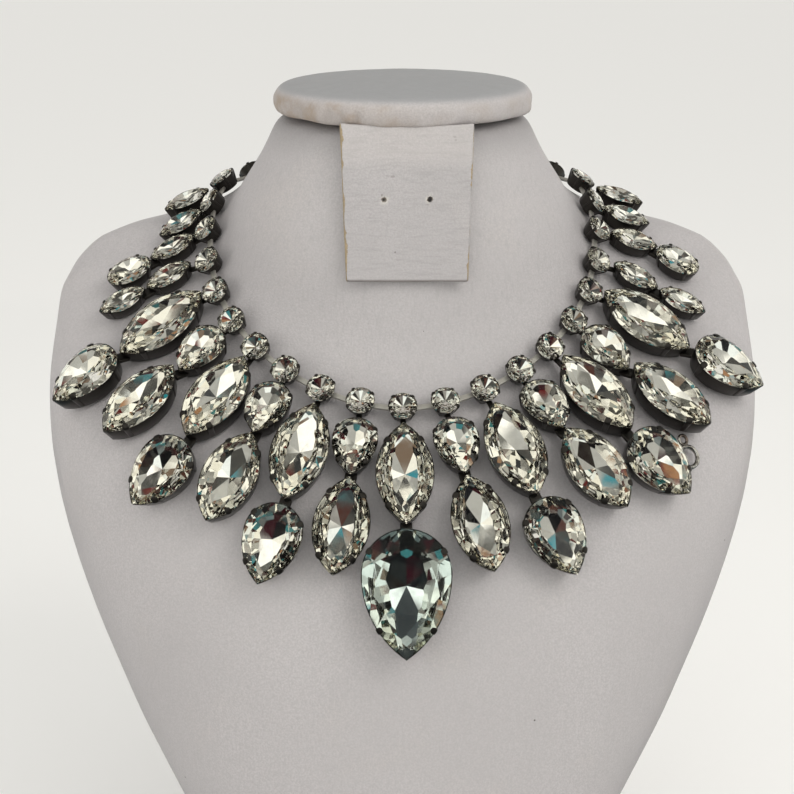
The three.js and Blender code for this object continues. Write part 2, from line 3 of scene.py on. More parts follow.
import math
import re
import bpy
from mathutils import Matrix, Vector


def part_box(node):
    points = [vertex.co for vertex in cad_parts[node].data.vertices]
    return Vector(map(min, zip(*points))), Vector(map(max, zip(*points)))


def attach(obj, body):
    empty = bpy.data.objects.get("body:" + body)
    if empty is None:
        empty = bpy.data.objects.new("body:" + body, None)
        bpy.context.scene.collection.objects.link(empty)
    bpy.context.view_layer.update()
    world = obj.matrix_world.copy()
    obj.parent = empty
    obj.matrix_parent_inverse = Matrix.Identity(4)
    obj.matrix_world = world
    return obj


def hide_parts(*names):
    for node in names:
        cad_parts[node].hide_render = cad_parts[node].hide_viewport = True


bl_info = {
    "name": "Crystal Bib Necklace",
    "version": (1, 0, 0),
    "blender": (4, 5, 0),
    "location": "View3D > Sidebar > Necklace",
    "description": "Cuts the crystals, forms their claw cups and chain, and upholsters the neck bust",
    "category": "Object",
}

from collections import namedtuple

import bmesh
import bpy
import numpy as np
from mathutils import Matrix, Vector

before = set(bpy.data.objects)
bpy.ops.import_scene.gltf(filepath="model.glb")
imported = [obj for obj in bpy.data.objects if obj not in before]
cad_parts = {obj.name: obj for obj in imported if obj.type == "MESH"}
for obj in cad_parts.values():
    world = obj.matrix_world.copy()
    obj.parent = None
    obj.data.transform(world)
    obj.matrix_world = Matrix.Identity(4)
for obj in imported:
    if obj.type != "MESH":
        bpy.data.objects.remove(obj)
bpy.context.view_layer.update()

MM = 0.001
ROOT = "root"
UP = Vector((0, 0, 1))


# ---------------------------------------------------------------- sizes and colours


def length_of(name, description, millimetres):
    return bpy.props.FloatProperty(
        name=name, description=description, default=millimetres * MM, unit="LENGTH", precision=5
    )


def number_of(name, description, number):
    return bpy.props.FloatProperty(name=name, description=description, default=number)


def share_of(name, description, share):
    return bpy.props.FloatProperty(name=name, description=description, default=share, subtype="FACTOR")


def colour_of(name, description, colour):
    return bpy.props.FloatVectorProperty(
        name=name, description=description, default=colour, size=3, min=0, max=1, subtype="COLOR"
    )


class CrystalSizes(bpy.types.PropertyGroup):
    """How the crystals are cut and what they are made of."""

    girdle: length_of("Girdle", "Height of the upright band round a crystal", 0.4)
    overhang: length_of("Overhang", "How far a crystal reaches out over its cup", 0.35)
    proud: length_of("Proud", "How far a crystal's girdle stands over its first height", 0.6)
    table: share_of("Table", "Size of the flat top, as a share of the outline", 0.65)
    star: share_of("Star", "Where the small facets round the table start, as a share of the outline", 0.6)
    back: share_of("Back", "Depth of a crystal behind its girdle, as a share of the way to its tip", 0.25)
    round_back: share_of("Round back", "The same for the small rounds of the chain", 0.45)
    glass: colour_of("Glass", "Colour of clear crystal", (1.0, 0.998, 0.98))
    cool_glass: colour_of("Cool glass", "Colour of the large drop's crystal", (0.86, 0.98, 1.0))
    foil: colour_of("Foil", "Colour of the silvering behind a crystal", (0.95, 0.935, 0.88))
    ior: number_of("IOR", "How strongly the glass bends light", 1.56)
    rim_slope: number_of("Rim slope", "How steep the back's outer facets are", 1.9)
    gloss: share_of("Gloss", "Strength of the plain reflection on the polished faces", 0.12)


class SettingSizes(bpy.types.PropertyGroup):
    """Cups, claws and the bars soldered between them."""

    rim: length_of("Rim", "How far the cup's rim stands outside the crystal's first outline", 0.4)
    foot: length_of("Foot", "How far the cup's floor stays inside the crystal's outline", 0.9)
    wall: length_of("Wall", "Thickness of the cup's wall", 0.5)
    floor: length_of("Floor", "Thickness of the cup's floor", 0.8)
    rise: length_of("Rise", "Height of the cup's rim over the crystal's first height", 0.3)
    claw_place: share_of("Claw place", "Where a claw stands, from the widest line to the pointed end", 0.67)
    round_place: share_of("Round place", "Where a claw stands, from the widest line to a round end", 0.52)
    claw_width: length_of("Claw width", "Width of a claw on a large cup", 2.0)
    claw_depth: length_of("Claw depth", "Thickness of a claw, measured level", 0.6)
    bridge: length_of("Bridge", "Width of the bar between two cups", 4.2)
    bridge_height: length_of("Bridge height", "Thickness of the bar between two cups", 1.5)
    hook: length_of("Hook", "Width of the bar between the chain and a cup", 2.0)
    hook_height: length_of("Hook height", "Thickness of the bar between the chain and a cup", 1.0)
    link: length_of("Link", "Width of the bars of the chain", 2.1)
    link_height: length_of("Link height", "Thickness of the bars of the chain", 1.15)
    link_level: length_of("Link level", "How far under a round's rim its bars are soldered", 1.9)
    metal: colour_of("Gunmetal", "Colour of the dark plating", (0.07, 0.068, 0.067))
    bright: colour_of("Bright metal", "Colour of the silver plating", (0.6, 0.58, 0.54))


class BustSizes(bpy.types.PropertyGroup):
    """The upholstered neck bust."""

    grain: length_of("Skin step", "Edge length of the bust's fine mesh", 3.0)
    smoothing: bpy.props.IntProperty(
        name="Smoothing", description="Passes that even out the skin", default=20
    )
    cap_edge: length_of("Cap edge", "How round the pad's upper edge is", 5.4)
    cap_rise: length_of("Cap rise", "How far the pad's top stands over its solid", 0.9)
    cap_swell: length_of("Cap swell", "The most that the pad's covering swells", 2.0)
    flap_taper: share_of("Flap taper", "Width of the flap's lower end, as a share of its top", 0.905)
    flap_short: length_of("Flap shortening", "How far the flap's lower end stays above its solid", 2.6)
    flap_thickness: length_of("Flap thickness", "Thickness of the flap, measured level", 1.8)
    flap_tuck: length_of("Flap tuck", "How far the flap's corners reach up beside the cap", 2.4)
    leather: colour_of("Leatherette", "Colour of the pale covering", (0.487, 0.466, 0.473))
    worn: colour_of("Worn edge", "Colour of the board that shows at worn edges", (0.36, 0.28, 0.17))


class StageSizes(bpy.types.PropertyGroup):
    """Camera, floor and light."""

    elevation: bpy.props.FloatProperty(
        name="Elevation",
        description="How far the camera looks down",
        default=math.radians(18),
        subtype="ANGLE",
    )
    distance: length_of("Distance", "From the camera to the front of the chain", 550)
    lens: number_of("Lens", "Focal length in millimetres", 83)
    aim_aside: length_of("Aim aside", "How far left of the chain's middle the camera aims", 1.74)
    aim_above: length_of("Aim above", "How far above the chain's front the camera aims", 2.9)
    floor: colour_of("Floor", "Colour of the floor", (0.93, 0.93, 0.92))
    dome: number_of("Dome", "Brightness of the surrounding light", 0.82)
    key: number_of("Key", "Power of the right soft light, in watts", 3.2)
    fill: number_of("Fill", "Power of the left soft light, in watts", 1.25)
    light_size: length_of("Light size", "Width of the two soft lights", 500)
    room: length_of("Room", "From the necklace to the cards that it mirrors", 900)


class NecklaceSizes(bpy.types.PropertyGroup):
    """All the sizes and colours of the necklace and its bust."""

    crystal: bpy.props.PointerProperty(type=CrystalSizes)
    setting: bpy.props.PointerProperty(type=SettingSizes)
    bust: bpy.props.PointerProperty(type=BustSizes)
    stage: bpy.props.PointerProperty(type=StageSizes)


def sizes():
    return bpy.context.scene.necklace_sizes


# ---------------------------------------------------------------- modelling by hand


def call(piece, name):
    """Gives a piece and its mesh one name."""
    piece.name = name
    piece.data.name = name


def start(add_primitive, name, **settings):
    """Adds a primitive and opens it in edit mode with nothing selected."""
    bpy.ops.object.select_all(action="DESELECT")
    add_primitive(**settings)
    piece = bpy.context.object
    call(piece, name)
    bpy.ops.object.transform_apply(location=True, rotation=True, scale=True)
    bpy.ops.object.mode_set(mode="EDIT")
    bpy.ops.mesh.select_all(action="DESELECT")
    return piece


def start_block(name, middle, size):
    return start(bpy.ops.mesh.primitive_cube_add, name, size=1, location=middle, scale=size)


def only(piece):
    """Makes a piece the only selected and active one."""
    bpy.ops.object.select_all(action="DESELECT")
    piece.select_set(True)
    bpy.context.view_layer.objects.active = piece


def close_edit():
    bpy.ops.object.mode_set(mode="OBJECT")


def pick_faces(piece, test):
    """In edit mode, selects just the faces whose centre and normal pass a test."""
    bpy.ops.mesh.select_all(action="DESELECT")
    bpy.ops.mesh.select_mode(type="FACE")
    mesh = bmesh.from_edit_mesh(piece.data)
    for face in mesh.faces:
        face.select_set(bool(test(face.calc_center_median(), face.normal)))
    bmesh.update_edit_mesh(piece.data)


def pick_edges(piece, test):
    """In edit mode, selects just the edges whose two ends pass a test."""
    bpy.ops.mesh.select_all(action="DESELECT")
    bpy.ops.mesh.select_mode(type="EDGE")
    mesh = bmesh.from_edit_mesh(piece.data)
    for edge in mesh.edges:
        edge.select_set(bool(test(edge.verts[0].co, edge.verts[1].co)))
    bmesh.update_edit_mesh(piece.data)


def cut_away(point, outward):
    """In edit mode, grinds the whole piece flat at a plane and closes the cut."""
    bpy.ops.mesh.select_all(action="SELECT")
    bpy.ops.mesh.bisect(
        plane_co=point,
        plane_no=Vector(outward).normalized(),
        use_fill=True,
        clear_outer=True,
        threshold=1e-6,
    )


def resize_about(centre, factors):
    bpy.ops.transform.resize(value=factors, center_override=centre)


def extrude_by(offset):
    bpy.ops.mesh.extrude_region_move(TRANSFORM_OT_translate={"value": offset})


def modify(piece, kind, **settings):
    """Adds a modifier to a piece and applies it."""
    only(piece)
    modifier = piece.modifiers.new(kind.title(), kind)
    for name, value in settings.items():
        setattr(modifier, name, value)
    bpy.ops.object.modifier_apply(modifier=modifier.name)


def bevel_corners(piece, width):
    """Rounds the sharp edges of a finished piece."""
    modify(piece, "BEVEL", width=width, segments=2, limit_method="ANGLE", angle_limit=math.radians(50))


def smooth_by_angle(piece, degrees):
    only(piece)
    bpy.ops.object.shade_smooth_by_angle(angle=math.radians(degrees))


def smooth(piece):
    only(piece)
    bpy.ops.object.shade_smooth()


def mesh_points(mesh):
    """A mesh's vertices as an array of points."""
    points = np.zeros(len(mesh.vertices) * 3)
    mesh.vertices.foreach_get("co", points)
    return points.reshape(-1, 3)


def move_points(mesh, points):
    """Gives a mesh's vertices new places."""
    mesh.vertices.foreach_set("co", points.ravel())
    mesh.update()


def fit_to_box(piece, low, high):
    """Moves and sizes a finished piece so that it fills a box."""
    points = mesh_points(piece.data)
    least, most = Vector(points.min(0)), Vector(points.max(0))
    scale = [(high[k] - low[k]) / (most[k] - least[k]) for k in range(3)]
    fit = Matrix.Translation(low) @ Matrix.Diagonal((*scale, 1)) @ Matrix.Translation(-least)
    piece.data.transform(fit)


def placed_copy(pattern, matrix):
    """A copy of a modelled pattern with a mesh of its own, moved to its place."""
    copy = pattern.copy()
    copy.data = pattern.data.copy()
    copy.data.transform(matrix)
    bpy.context.scene.collection.objects.link(copy)
    return copy


def joined(pieces, name):
    """Joins pieces into one with a plain name."""
    bpy.ops.object.select_all(action="DESELECT")
    for piece in pieces:
        piece.select_set(True)
    bpy.context.view_layer.objects.active = pieces[0]
    if len(pieces) > 1:
        bpy.ops.object.join()
    call(pieces[0], name)
    return pieces[0]


def finish_in(piece, *finishes):
    """Gives a piece its materials, the first of which covers it unless its faces say otherwise."""
    piece.data.materials.clear()
    for name in finishes:
        piece.data.materials.append(material(name))


def hand_over(piece, slot, *nodes):
    """Hangs a finished piece on the root body and hides the solids that it stands for. The slot, its finish,
    is not used.
    """
    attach(piece, ROOT)
    if nodes:
        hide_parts(*nodes)


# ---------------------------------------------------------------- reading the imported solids

Region = namedtuple("Region", "area centre normal")
FLATNESS = 0.99995  # the least cosine between two triangles of one flat face


def merged_mesh(node):
    """A node's solid as one welded mesh."""
    mesh = bmesh.new()
    mesh.from_mesh(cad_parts[node].data)
    bmesh.ops.remove_doubles(mesh, verts=mesh.verts, dist=2e-6)
    mesh.normal_update()
    return mesh


def flat_regions(node):
    """The flat faces of a solid, each with its area, centre and outward normal."""
    mesh = merged_mesh(node)
    seen = set()
    regions = []
    for first in mesh.faces:
        if first in seen:
            continue
        seen.add(first)
        group = [first]
        for face in group:
            beside = [other for edge in face.edges for other in edge.link_faces if other not in seen]
            for other in beside:
                if other not in seen and other.normal.dot(first.normal) > FLATNESS:
                    seen.add(other)
                    group.append(other)
        area = sum(face.calc_area() for face in group)
        centre = sum((face.calc_center_median() * face.calc_area() for face in group), Vector()) / area
        regions.append(Region(area, centre, first.normal.copy()))
    mesh.free()
    return regions


def node_points(node):
    """A node's vertices as an array of points."""
    return np.unique(mesh_points(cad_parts[node].data).round(7), axis=0)


def axes_frame(origin, along, normal):
    """A place whose +Y runs along a piece and whose +Z leaves the bust."""
    across = along.cross(normal).normalized()
    rows = Matrix((across, along.normalized(), normal.normalized())).transposed()
    return Matrix.Translation(origin) @ rows.to_4x4()


# ---------------------------------------------------------------- where the chain and the crystals sit

ROUND_TABLE_AREA = 2 * math.sqrt(2) * (2.4 * MM) ** 2  # the flat octagon on top of each round of the chain
ROUND_TABLE_HEIGHT = 1.7 * MM  # from a round's rim to its flat top
ROUND_RADIUS = 4.05 * MM
ROUND_DEPTH = 3.9 * MM
ROUND_CROWN = 1.75 * MM
NECK_MIDDLE = 50 * MM  # how far behind the base's centre the chain's loop has its middle
PEAR_LEAN = 0.03  # the least that a pear is widest off its middle, as a share of its length
MARQUISE_LENGTH = 1.65  # the least length of a marquise, in widths
DEEPEST_CUP = 12 * MM

Round = namedtuple("Round", "node place")
Cut = namedtuple("Cut", "shape length width crown depth")
Seat = namedtuple("Seat", "node owner side number level cut place")


def read_rounds():
    """The rounds of the chain in order, from the left end at the nape round the front to the right end."""
    found = []
    for node in ("chain_left", "chain_front", "chain_right"):
        for region in flat_regions(node):
            if abs(region.area / ROUND_TABLE_AREA - 1) < 0.02:
                found.append((node, region.centre - region.normal * ROUND_TABLE_HEIGHT, region.normal))
    found.sort(key=lambda item: math.atan2(item[1].x, NECK_MIDDLE - item[1].y))
    rounds = []
    for i, (node, centre, normal) in enumerate(found):
        before = found[max(i - 1, 0)][1]
        after = found[min(i + 1, len(found) - 1)][1]
        along = after - before
        along -= normal * along.dot(normal)
        rounds.append(Round(node, axes_frame(centre, along, normal)))
    return rounds


def shape_of(length, width, widest):
    """A pear is widest off its middle, and a marquise is slimmer than an oval."""
    if abs(widest) > PEAR_LEAN * length:
        return "pear"
    return "marquise" if length > MARQUISE_LENGTH * width else "oval"


def farthest_pair(points):
    """The two points that lie farthest apart."""
    gaps = np.linalg.norm(points[:, None] - points[None], axis=2)
    first, last = np.unravel_index(gaps.argmax(), gaps.shape)
    return Vector(points[first]), Vector(points[last])


def seen_from(place, points):
    """Points in a place's own frame."""
    return np.array([place.inverted() @ Vector(point) for point in points])


def cup_depth(owner, place, length, width):
    """How far a cup's floor lies under its crystal's girdle, read from the solid that holds the cup."""
    shell = seen_from(place, node_points(owner))
    inside = (abs(shell[:, 0]) < width / 2) & (abs(shell[:, 1]) < length / 2)
    return -shell[inside & (abs(shell[:, 2]) < DEEPEST_CUP)][:, 2].min()


def read_seat(node, rounds):
    """Where a crystal sits, read from its solid: +Y points away from the chain, and the girdle is at zero."""
    side_name, number, level = re.match(r"crystal_(left|right|centre)_?(\d*)_?(upper|lower)?$", node).groups()
    side = {"left": -1, "right": 1, "centre": 0}[side_name]
    number = int(number or 0)
    owner = f"setting_{side_name}" + (f"_{number}" if number else "")
    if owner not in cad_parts:
        owner = f"chain_{side_name}"
    normal = max(flat_regions(node), key=lambda region: region.area).normal
    points = node_points(node)
    heights = points @ np.array(normal)
    top, bottom = heights.max(), heights.min()
    ring = points[(heights < top - 1e-5) & (heights > bottom + 1e-5)]
    first, last = farthest_pair(ring)
    origin, along = (first + last) / 2, last - first
    chain_point = rounds[len(rounds) // 2 + side * number].place.translation
    if along.dot(origin - chain_point) < 0:
        along.negate()
    place = axes_frame(origin, along, normal)
    local = seen_from(place, ring)
    widest = local[abs(local[:, 0]).argmax()]
    width = 2 * abs(widest[0])
    crown = top - origin.dot(normal)
    depth = cup_depth(owner, place, along.length, width)
    rounded = [round(value / MM, 1) * MM for value in (along.length, width, crown, depth)]
    cut = Cut(shape_of(along.length, width, widest[1]), *rounded)
    return Seat(node, owner, side, number, level or "upper", cut, place)


rounds = read_rounds()
seats = [read_seat(node, rounds) for node in sorted(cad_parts) if node.startswith("crystal_")]
round_cut = Cut("round", 2 * ROUND_RADIUS, 2 * ROUND_RADIUS, ROUND_CROWN, ROUND_DEPTH)


# ---------------------------------------------------------------- outlines

OUTLINE_SIDES = 56


def grown(cut, margin):
    """A cut with its outline moved out by a margin."""
    return cut._replace(length=cut.length + 2 * margin, width=cut.width + 2 * margin)


def reaches(cut):
    """How far an outline reaches from its widest line, ahead to its point and back to its other end."""
    half = cut.width / 2
    return (cut.length - half, half) if cut.shape == "pear" else (cut.length / 2, cut.length / 2)


def widest_line(cut):
    ahead, behind = reaches(cut)
    return (behind - ahead) / 2


def outline_point(cut, turn, margin=0.0):
    """A point of the outline and the way out from it, at a turn from 0 to 4 quarters round from +X."""
    quarter, share = int(turn) % 4, turn % 1
    half = cut.width / 2 + margin
    ahead, behind = (reach + margin for reach in reaches(cut))
    reach = ahead if quarter < 2 else behind
    if quarter in (1, 3):
        share = 1 - share
    right = 1 if quarter in (0, 3) else -1
    up = 1 if quarter < 2 else -1
    if cut.shape in ("oval", "round") or (cut.shape == "pear" and up < 0):
        angle = share * math.pi / 2
        point = Vector((half * math.cos(angle), reach * math.sin(angle)))
        out = Vector((math.cos(angle) / half, math.sin(angle) / reach)).normalized()
    else:
        radius = (half**2 + reach**2) / (2 * half)
        angle = share * math.asin(min(1, reach / radius))
        point = Vector((radius * math.cos(angle) - radius + half, radius * math.sin(angle)))
        out = Vector((math.cos(angle), math.sin(angle)))
        if share > 0.999:
            out = Vector((0, 1))
    point = Vector((point.x * right, point.y * up + (behind - ahead) / 2))
    return point, Vector((out.x * right, out.y * up))


def carve_prism(cut, name, low, high, margin=0.0):
    """Grinds a block to an upright prism of a cut's outline, and leaves it in edit mode."""
    reach = cut.length / 2 + margin
    half = cut.width / 2 + margin
    piece = start_block(name, (0, 0, (low + high) / 2), (2 * half, 2 * reach, high - low))
    for i in range(OUTLINE_SIDES):
        point, out = outline_point(cut, 4 * (i + 0.5) / OUTLINE_SIDES, margin)
        cut_away((point.x, point.y, 0), (out.x, out.y, 0))
    return piece


# ---------------------------------------------------------------- crystals

Tier = namedtuple("Tier", "count phase reach height apex")
CROWN_MAINS = 8  # the wide facets round the table
CROWN_HALVES = 1.22  # how steep the small facets over the girdle are, against the wide ones
CROWN_STAR = 0.72  # the same for the small facets round the table
CULET_SHARE = 0.42  # where the back point lies, from the outline's middle to its widest line
LARGE = 36 * MM  # only the drop is longer


def culet(cut):
    """How far the back point lies ahead of the outline's middle."""
    return widest_line(cut) * CULET_SHARE


def grind_tier(cut, tier, sign):
    """
    Grinds one ring of facets. Each plane leans on the outline, drawn in to the tier's reach at its
    height, and meets the crystal's axis at the apex. The sign is 1 above the girdle and -1 below.
    """
    middle = Vector((0, culet(cut)))
    for i in range(tier.count):
        point, out = outline_point(cut, 4 * (i + tier.phase) / tier.count)
        lean = middle + (point - middle) * tier.reach
        slope = out.dot(lean - middle) / (tier.apex - tier.height)
        cut_away((lean.x, lean.y, sign * tier.height), (out.x, out.y, sign * slope))


def grind_star(cut, count, reach, height, apex):
    """
    Grinds the wide facets that meet at a crystal's back point. All lean alike and are turned evenly, with one
    towards the tip, whatever the outline is, so they spread like an even star.
    """
    middle = Vector((0, culet(cut)))
    for i in range(count):
        angle = math.pi / 2 + 2 * math.pi * i / count
        out = Vector((math.cos(angle), math.sin(angle)))
        lean = middle + out * reach
        cut_away((lean.x, lean.y, -height), (out.x, out.y, -reach / (apex - height)))


def model_crystal(cut, name):
    """Cuts a crystal: a prism ground to a table, crown, girdle and pointed back."""
    look = sizes().crystal
    rim = look.girdle / 2
    cut = grown(cut, look.overhang)._replace(crown=cut.crown - look.proud)
    reach = cut.length / 2 - culet(cut)
    back = rim + (look.round_back if cut.shape == "round" else look.back) * reach
    back_mains = 7 if cut.shape == "pear" else 8
    crown = cut.crown - rim
    piece = carve_prism(cut, name, -back, cut.crown)
    steep = crown / (1 - look.table)
    crown_tiers = [
        Tier(2 * CROWN_MAINS, 0.5, 1, rim, rim + steep * CROWN_HALVES),
        Tier(CROWN_MAINS, 0, 1, rim, rim + steep),
        Tier(CROWN_MAINS, 0.5, look.star, cut.crown, cut.crown + crown * CROWN_STAR),
    ]
    steepness = look.rim_slope - cut.width / 2 / reach
    halves = Tier(2 * back_mains, 0.5, 1, rim, rim + (back - rim) * steepness)
    for tier in crown_tiers:
        grind_tier(cut, tier, 1)
    grind_tier(cut, halves, -1)
    grind_star(cut, back_mains, reach, rim, back)
    close_edit()
    finish_in(piece, "cool_crystal_glass" if cut.length > LARGE else "crystal_glass", "crystal_foil")
    for face in piece.data.polygons:
        face.material_index = 1 if face.normal.z < -0.02 and face.center.z < -rim * 0.9 else 0
    piece.data.transform(Matrix.Translation((0, 0, look.proud)))
    return piece


# ---------------------------------------------------------------- cups and claws


def model_cup(cut, name):
    """Forms a cup: a flared prism, hollowed from its rim down to the floor."""
    form = sizes().setting
    top = form.rise
    low = -cut.depth
    piece = carve_prism(cut, name, low, top, form.rim)
    half, reach = cut.width / 2, cut.length / 2
    across = (half - form.foot) / (half + form.rim)
    along = (reach - form.foot) / (reach + form.rim)
    pick_faces(piece, lambda centre, normal: normal.z < -0.9)
    resize_about((0, 0, low), (across, along, 1))
    pick_faces(piece, lambda centre, normal: normal.z > 0.9)
    bpy.ops.mesh.inset(thickness=form.wall)
    extrude_by((0, 0, low + form.floor - top))
    resize_about((0, 0, low + form.floor), (across, along, 1))
    close_edit()
    bevel_corners(piece, 0.12 * MM)
    smooth_by_angle(piece, 35)
    finish_in(piece, "gunmetal")
    return piece


def claw_size(cut):
    """Claws grow with their cup, within limits."""
    return min(1.15, max(0.62, cut.width / (15 * MM)))


def model_claw(cut, name):
    """
    Draws a claw up from the cup's floor, over the girdle and onto the crown. Here +X leads out of the cup
    and zero is the crystal's first edge. A station says how far out and how high the claw is there, and
    its share of the whole width.
    """
    form, look = sizes().setting, sizes().crystal
    scale = claw_size(cut)
    width, depth = form.claw_width * scale, form.claw_depth * (0.6 + 0.4 * scale)
    low = -cut.depth + 0.3 * MM
    slope = (form.rim + form.foot) / (cut.depth + form.rise)
    edge = max(look.overhang, form.rim) + 0.1 * MM
    girdle = look.proud + look.girdle / 2
    stations = [
        (-form.foot + slope * (low + cut.depth), low, 0.85),
        (edge, form.rise - 0.1 * MM, 0.9),
        (edge + 0.05 * MM, girdle, 0.92),
        (edge - 0.2 * MM, girdle + 0.4 * MM, 0.95),
        (edge - 0.75 * MM * scale, girdle + 0.75 * MM * scale, 1),
        (edge - 1.35 * MM * scale, girdle + 0.95 * MM * scale, 0.62),
    ]
    out, height, wide = stations[0]
    foot = 0.1 * MM
    piece = start_block(name, (out, 0, height - foot / 2), (depth, width * wide, foot))
    pick_faces(piece, lambda centre, normal: normal.z > 0.9)
    for (out, height, wide), (next_out, next_height, next_wide) in zip(stations, stations[1:]):
        extrude_by((next_out - out, 0, next_height - height))
        resize_about((next_out, 0, next_height), (1, next_wide / wide, 1))
    close_edit()
    modify(piece, "SUBSURF", levels=2, render_levels=2)
    smooth_by_angle(piece, 60)
    finish_in(piece, "gunmetal")
    return piece


def claw_places(cut):
    """Where a cup's four claws stand, in the cup's own frame."""
    turns = [0.5, 1.5, 2.5, 3.5]
    if cut.shape != "round":
        form = sizes().setting
        shares = [form.claw_place] * 4
        if cut.shape == "pear":
            shares[2:] = [form.round_place] * 2
        turns = [turn_at(cut, quarter, share) for quarter, share in enumerate(shares)]
    places = []
    for turn in turns:
        point, out = outline_point(cut, turn)
        turned = Matrix.Rotation(math.atan2(out.y, out.x), 4, "Z")
        places.append(Matrix.Translation((point.x, point.y, 0)) @ turned)
    return places


def turn_at(cut, quarter, share):
    """The turn round the outline at a share of a quarter's reach."""
    ahead, behind = reaches(cut)
    reach = ahead if quarter < 2 else behind
    half = cut.width / 2
    if cut.shape in ("oval", "round") or (cut.shape == "pear" and quarter > 1):
        part = math.asin(share) / (math.pi / 2)
    else:
        radius = (half**2 + reach**2) / (2 * half)
        part = math.asin(share * reach / radius) / math.asin(min(1, reach / radius))
    return quarter + (1 - part if quarter in (1, 3) else part)


def model_bar(name, start_point, end_point, normal, width, thickness, finish):
    """A rounded bar soldered between two points."""
    along = end_point - start_point
    upright = normal - along * normal.dot(along) / along.length_squared
    place = axes_frame((start_point + end_point) / 2, along, upright)
    piece = start_block(name, (0, 0, 0), (width, along.length, thickness))
    bpy.ops.mesh.select_all(action="SELECT")
    bpy.ops.mesh.subdivide(number_cuts=2)
    pick_faces(piece, lambda centre, normal: abs(centre.y) > along.length * 0.2)
    resize_about((0, 0, 0), (0.86, 1, 0.86))
    close_edit()
    bevel_corners(piece, 0.22 * thickness)
    smooth_by_angle(piece, 60)
    finish_in(piece, finish)
    piece.data.transform(place)
    return piece


def point_in(place, x, y, z):
    return place @ Vector((x, y, z))


def normal_in(place):
    return place.to_3x3() @ UP


# ---------------------------------------------------------------- shader maths


class Value:
    """A number or colour that varies over a surface, so that shader maths reads as arithmetic."""

    def __init__(self, shader, socket):
        self.shader = shader
        self.socket = socket

    def maths(self, operation, *others):
        return self.shader.add("ShaderNodeMath", {"operation": operation}, dict(enumerate((self, *others))))

    def __add__(self, other):
        return self.maths("ADD", other)

    __radd__ = __add__

    def __mul__(self, other):
        return self.maths("MULTIPLY", other)

    __rmul__ = __mul__

    def __sub__(self, other):
        return self.maths("SUBTRACT", other)

    def __rsub__(self, other):
        return self.maths("MULTIPLY", -1) + other

    def __truediv__(self, other):
        return self.maths("DIVIDE", other)

    def __pow__(self, other):
        return self.maths("POWER", other)

    def __lt__(self, other):
        return self.maths("LESS_THAN", other)


class Shader:
    """One procedural material, with its Principled surface."""

    def __init__(self, name, **constants):
        self.material = bpy.data.materials.new(name)
        self.material.use_nodes = True
        self.nodes = self.material.node_tree.nodes
        self.links = self.material.node_tree.links
        self.surface = next(node for node in self.nodes if node.type == "BSDF_PRINCIPLED")
        for name, value in constants.items():
            self.set(name.replace("_", " ").title().replace("Ior", "IOR"), value)

    def set(self, name, value):
        self.feed(self.surface.inputs[name], value)

    def feed(self, socket, value):
        if isinstance(value, Value):
            self.links.new(value.socket, socket)
        elif isinstance(value, tuple) and socket.type == "RGBA" and len(value) == 3:
            socket.default_value = (*value, 1)
        else:
            socket.default_value = value

    def add(self, kind, settings=None, inputs=None, output=0):
        """Adds any node: its settings first, then the values or links of its sockets."""
        node = self.nodes.new(kind)
        for name, value in (settings or {}).items():
            setattr(node, name, value)
        for name, value in (inputs or {}).items():
            self.feed(node.inputs[name], value)
        return Value(self, node.outputs[output])

    def place(self, scale=(1, 1, 1), shift=(0, 0, 0)):
        """The piece's own coordinates in metres, scaled and shifted."""
        coordinates = self.add("ShaderNodeTexCoord", output="Object")
        return self.add("ShaderNodeMapping", None, {"Vector": coordinates, "Scale": scale, "Location": shift})

    def axis(self, name):
        coordinates = self.add("ShaderNodeTexCoord", output="Object")
        return self.add("ShaderNodeSeparateXYZ", None, {"Vector": coordinates}, output=name)

    def noise(self, size, detail=3.0, stretch=(1, 1, 1), shift=(0, 0, 0), roughness=0.5):
        """Soft random patches of a size in millimetres, from 0 to 1 and about 0.5 on average."""
        place = self.place(stretch, shift)
        settings = {"Vector": place, "Scale": 1 / (size * MM), "Detail": detail, "Roughness": roughness}
        return self.add("ShaderNodeTexNoise", None, settings, output="Fac")

    def ramp(self, value, low, high):
        """0 below one value, 1 above another and smooth between them."""
        settings = {"interpolation_type": "SMOOTHSTEP"}
        return self.add("ShaderNodeMapRange", settings, {"Value": value, "From Min": low, "From Max": high})

    def blend(self, factor, first, second):
        settings = {"data_type": "RGBA"}
        return self.add("ShaderNodeMix", settings, {0: factor, 6: first, 7: second}, output=2)

    def bump(self, height, strength, distance):
        inputs = {"Height": height, "Strength": strength, "Distance": distance * MM}
        return self.add("ShaderNodeBump", None, inputs)


def shade(colour, factor):
    return tuple(channel * factor for channel in colour)


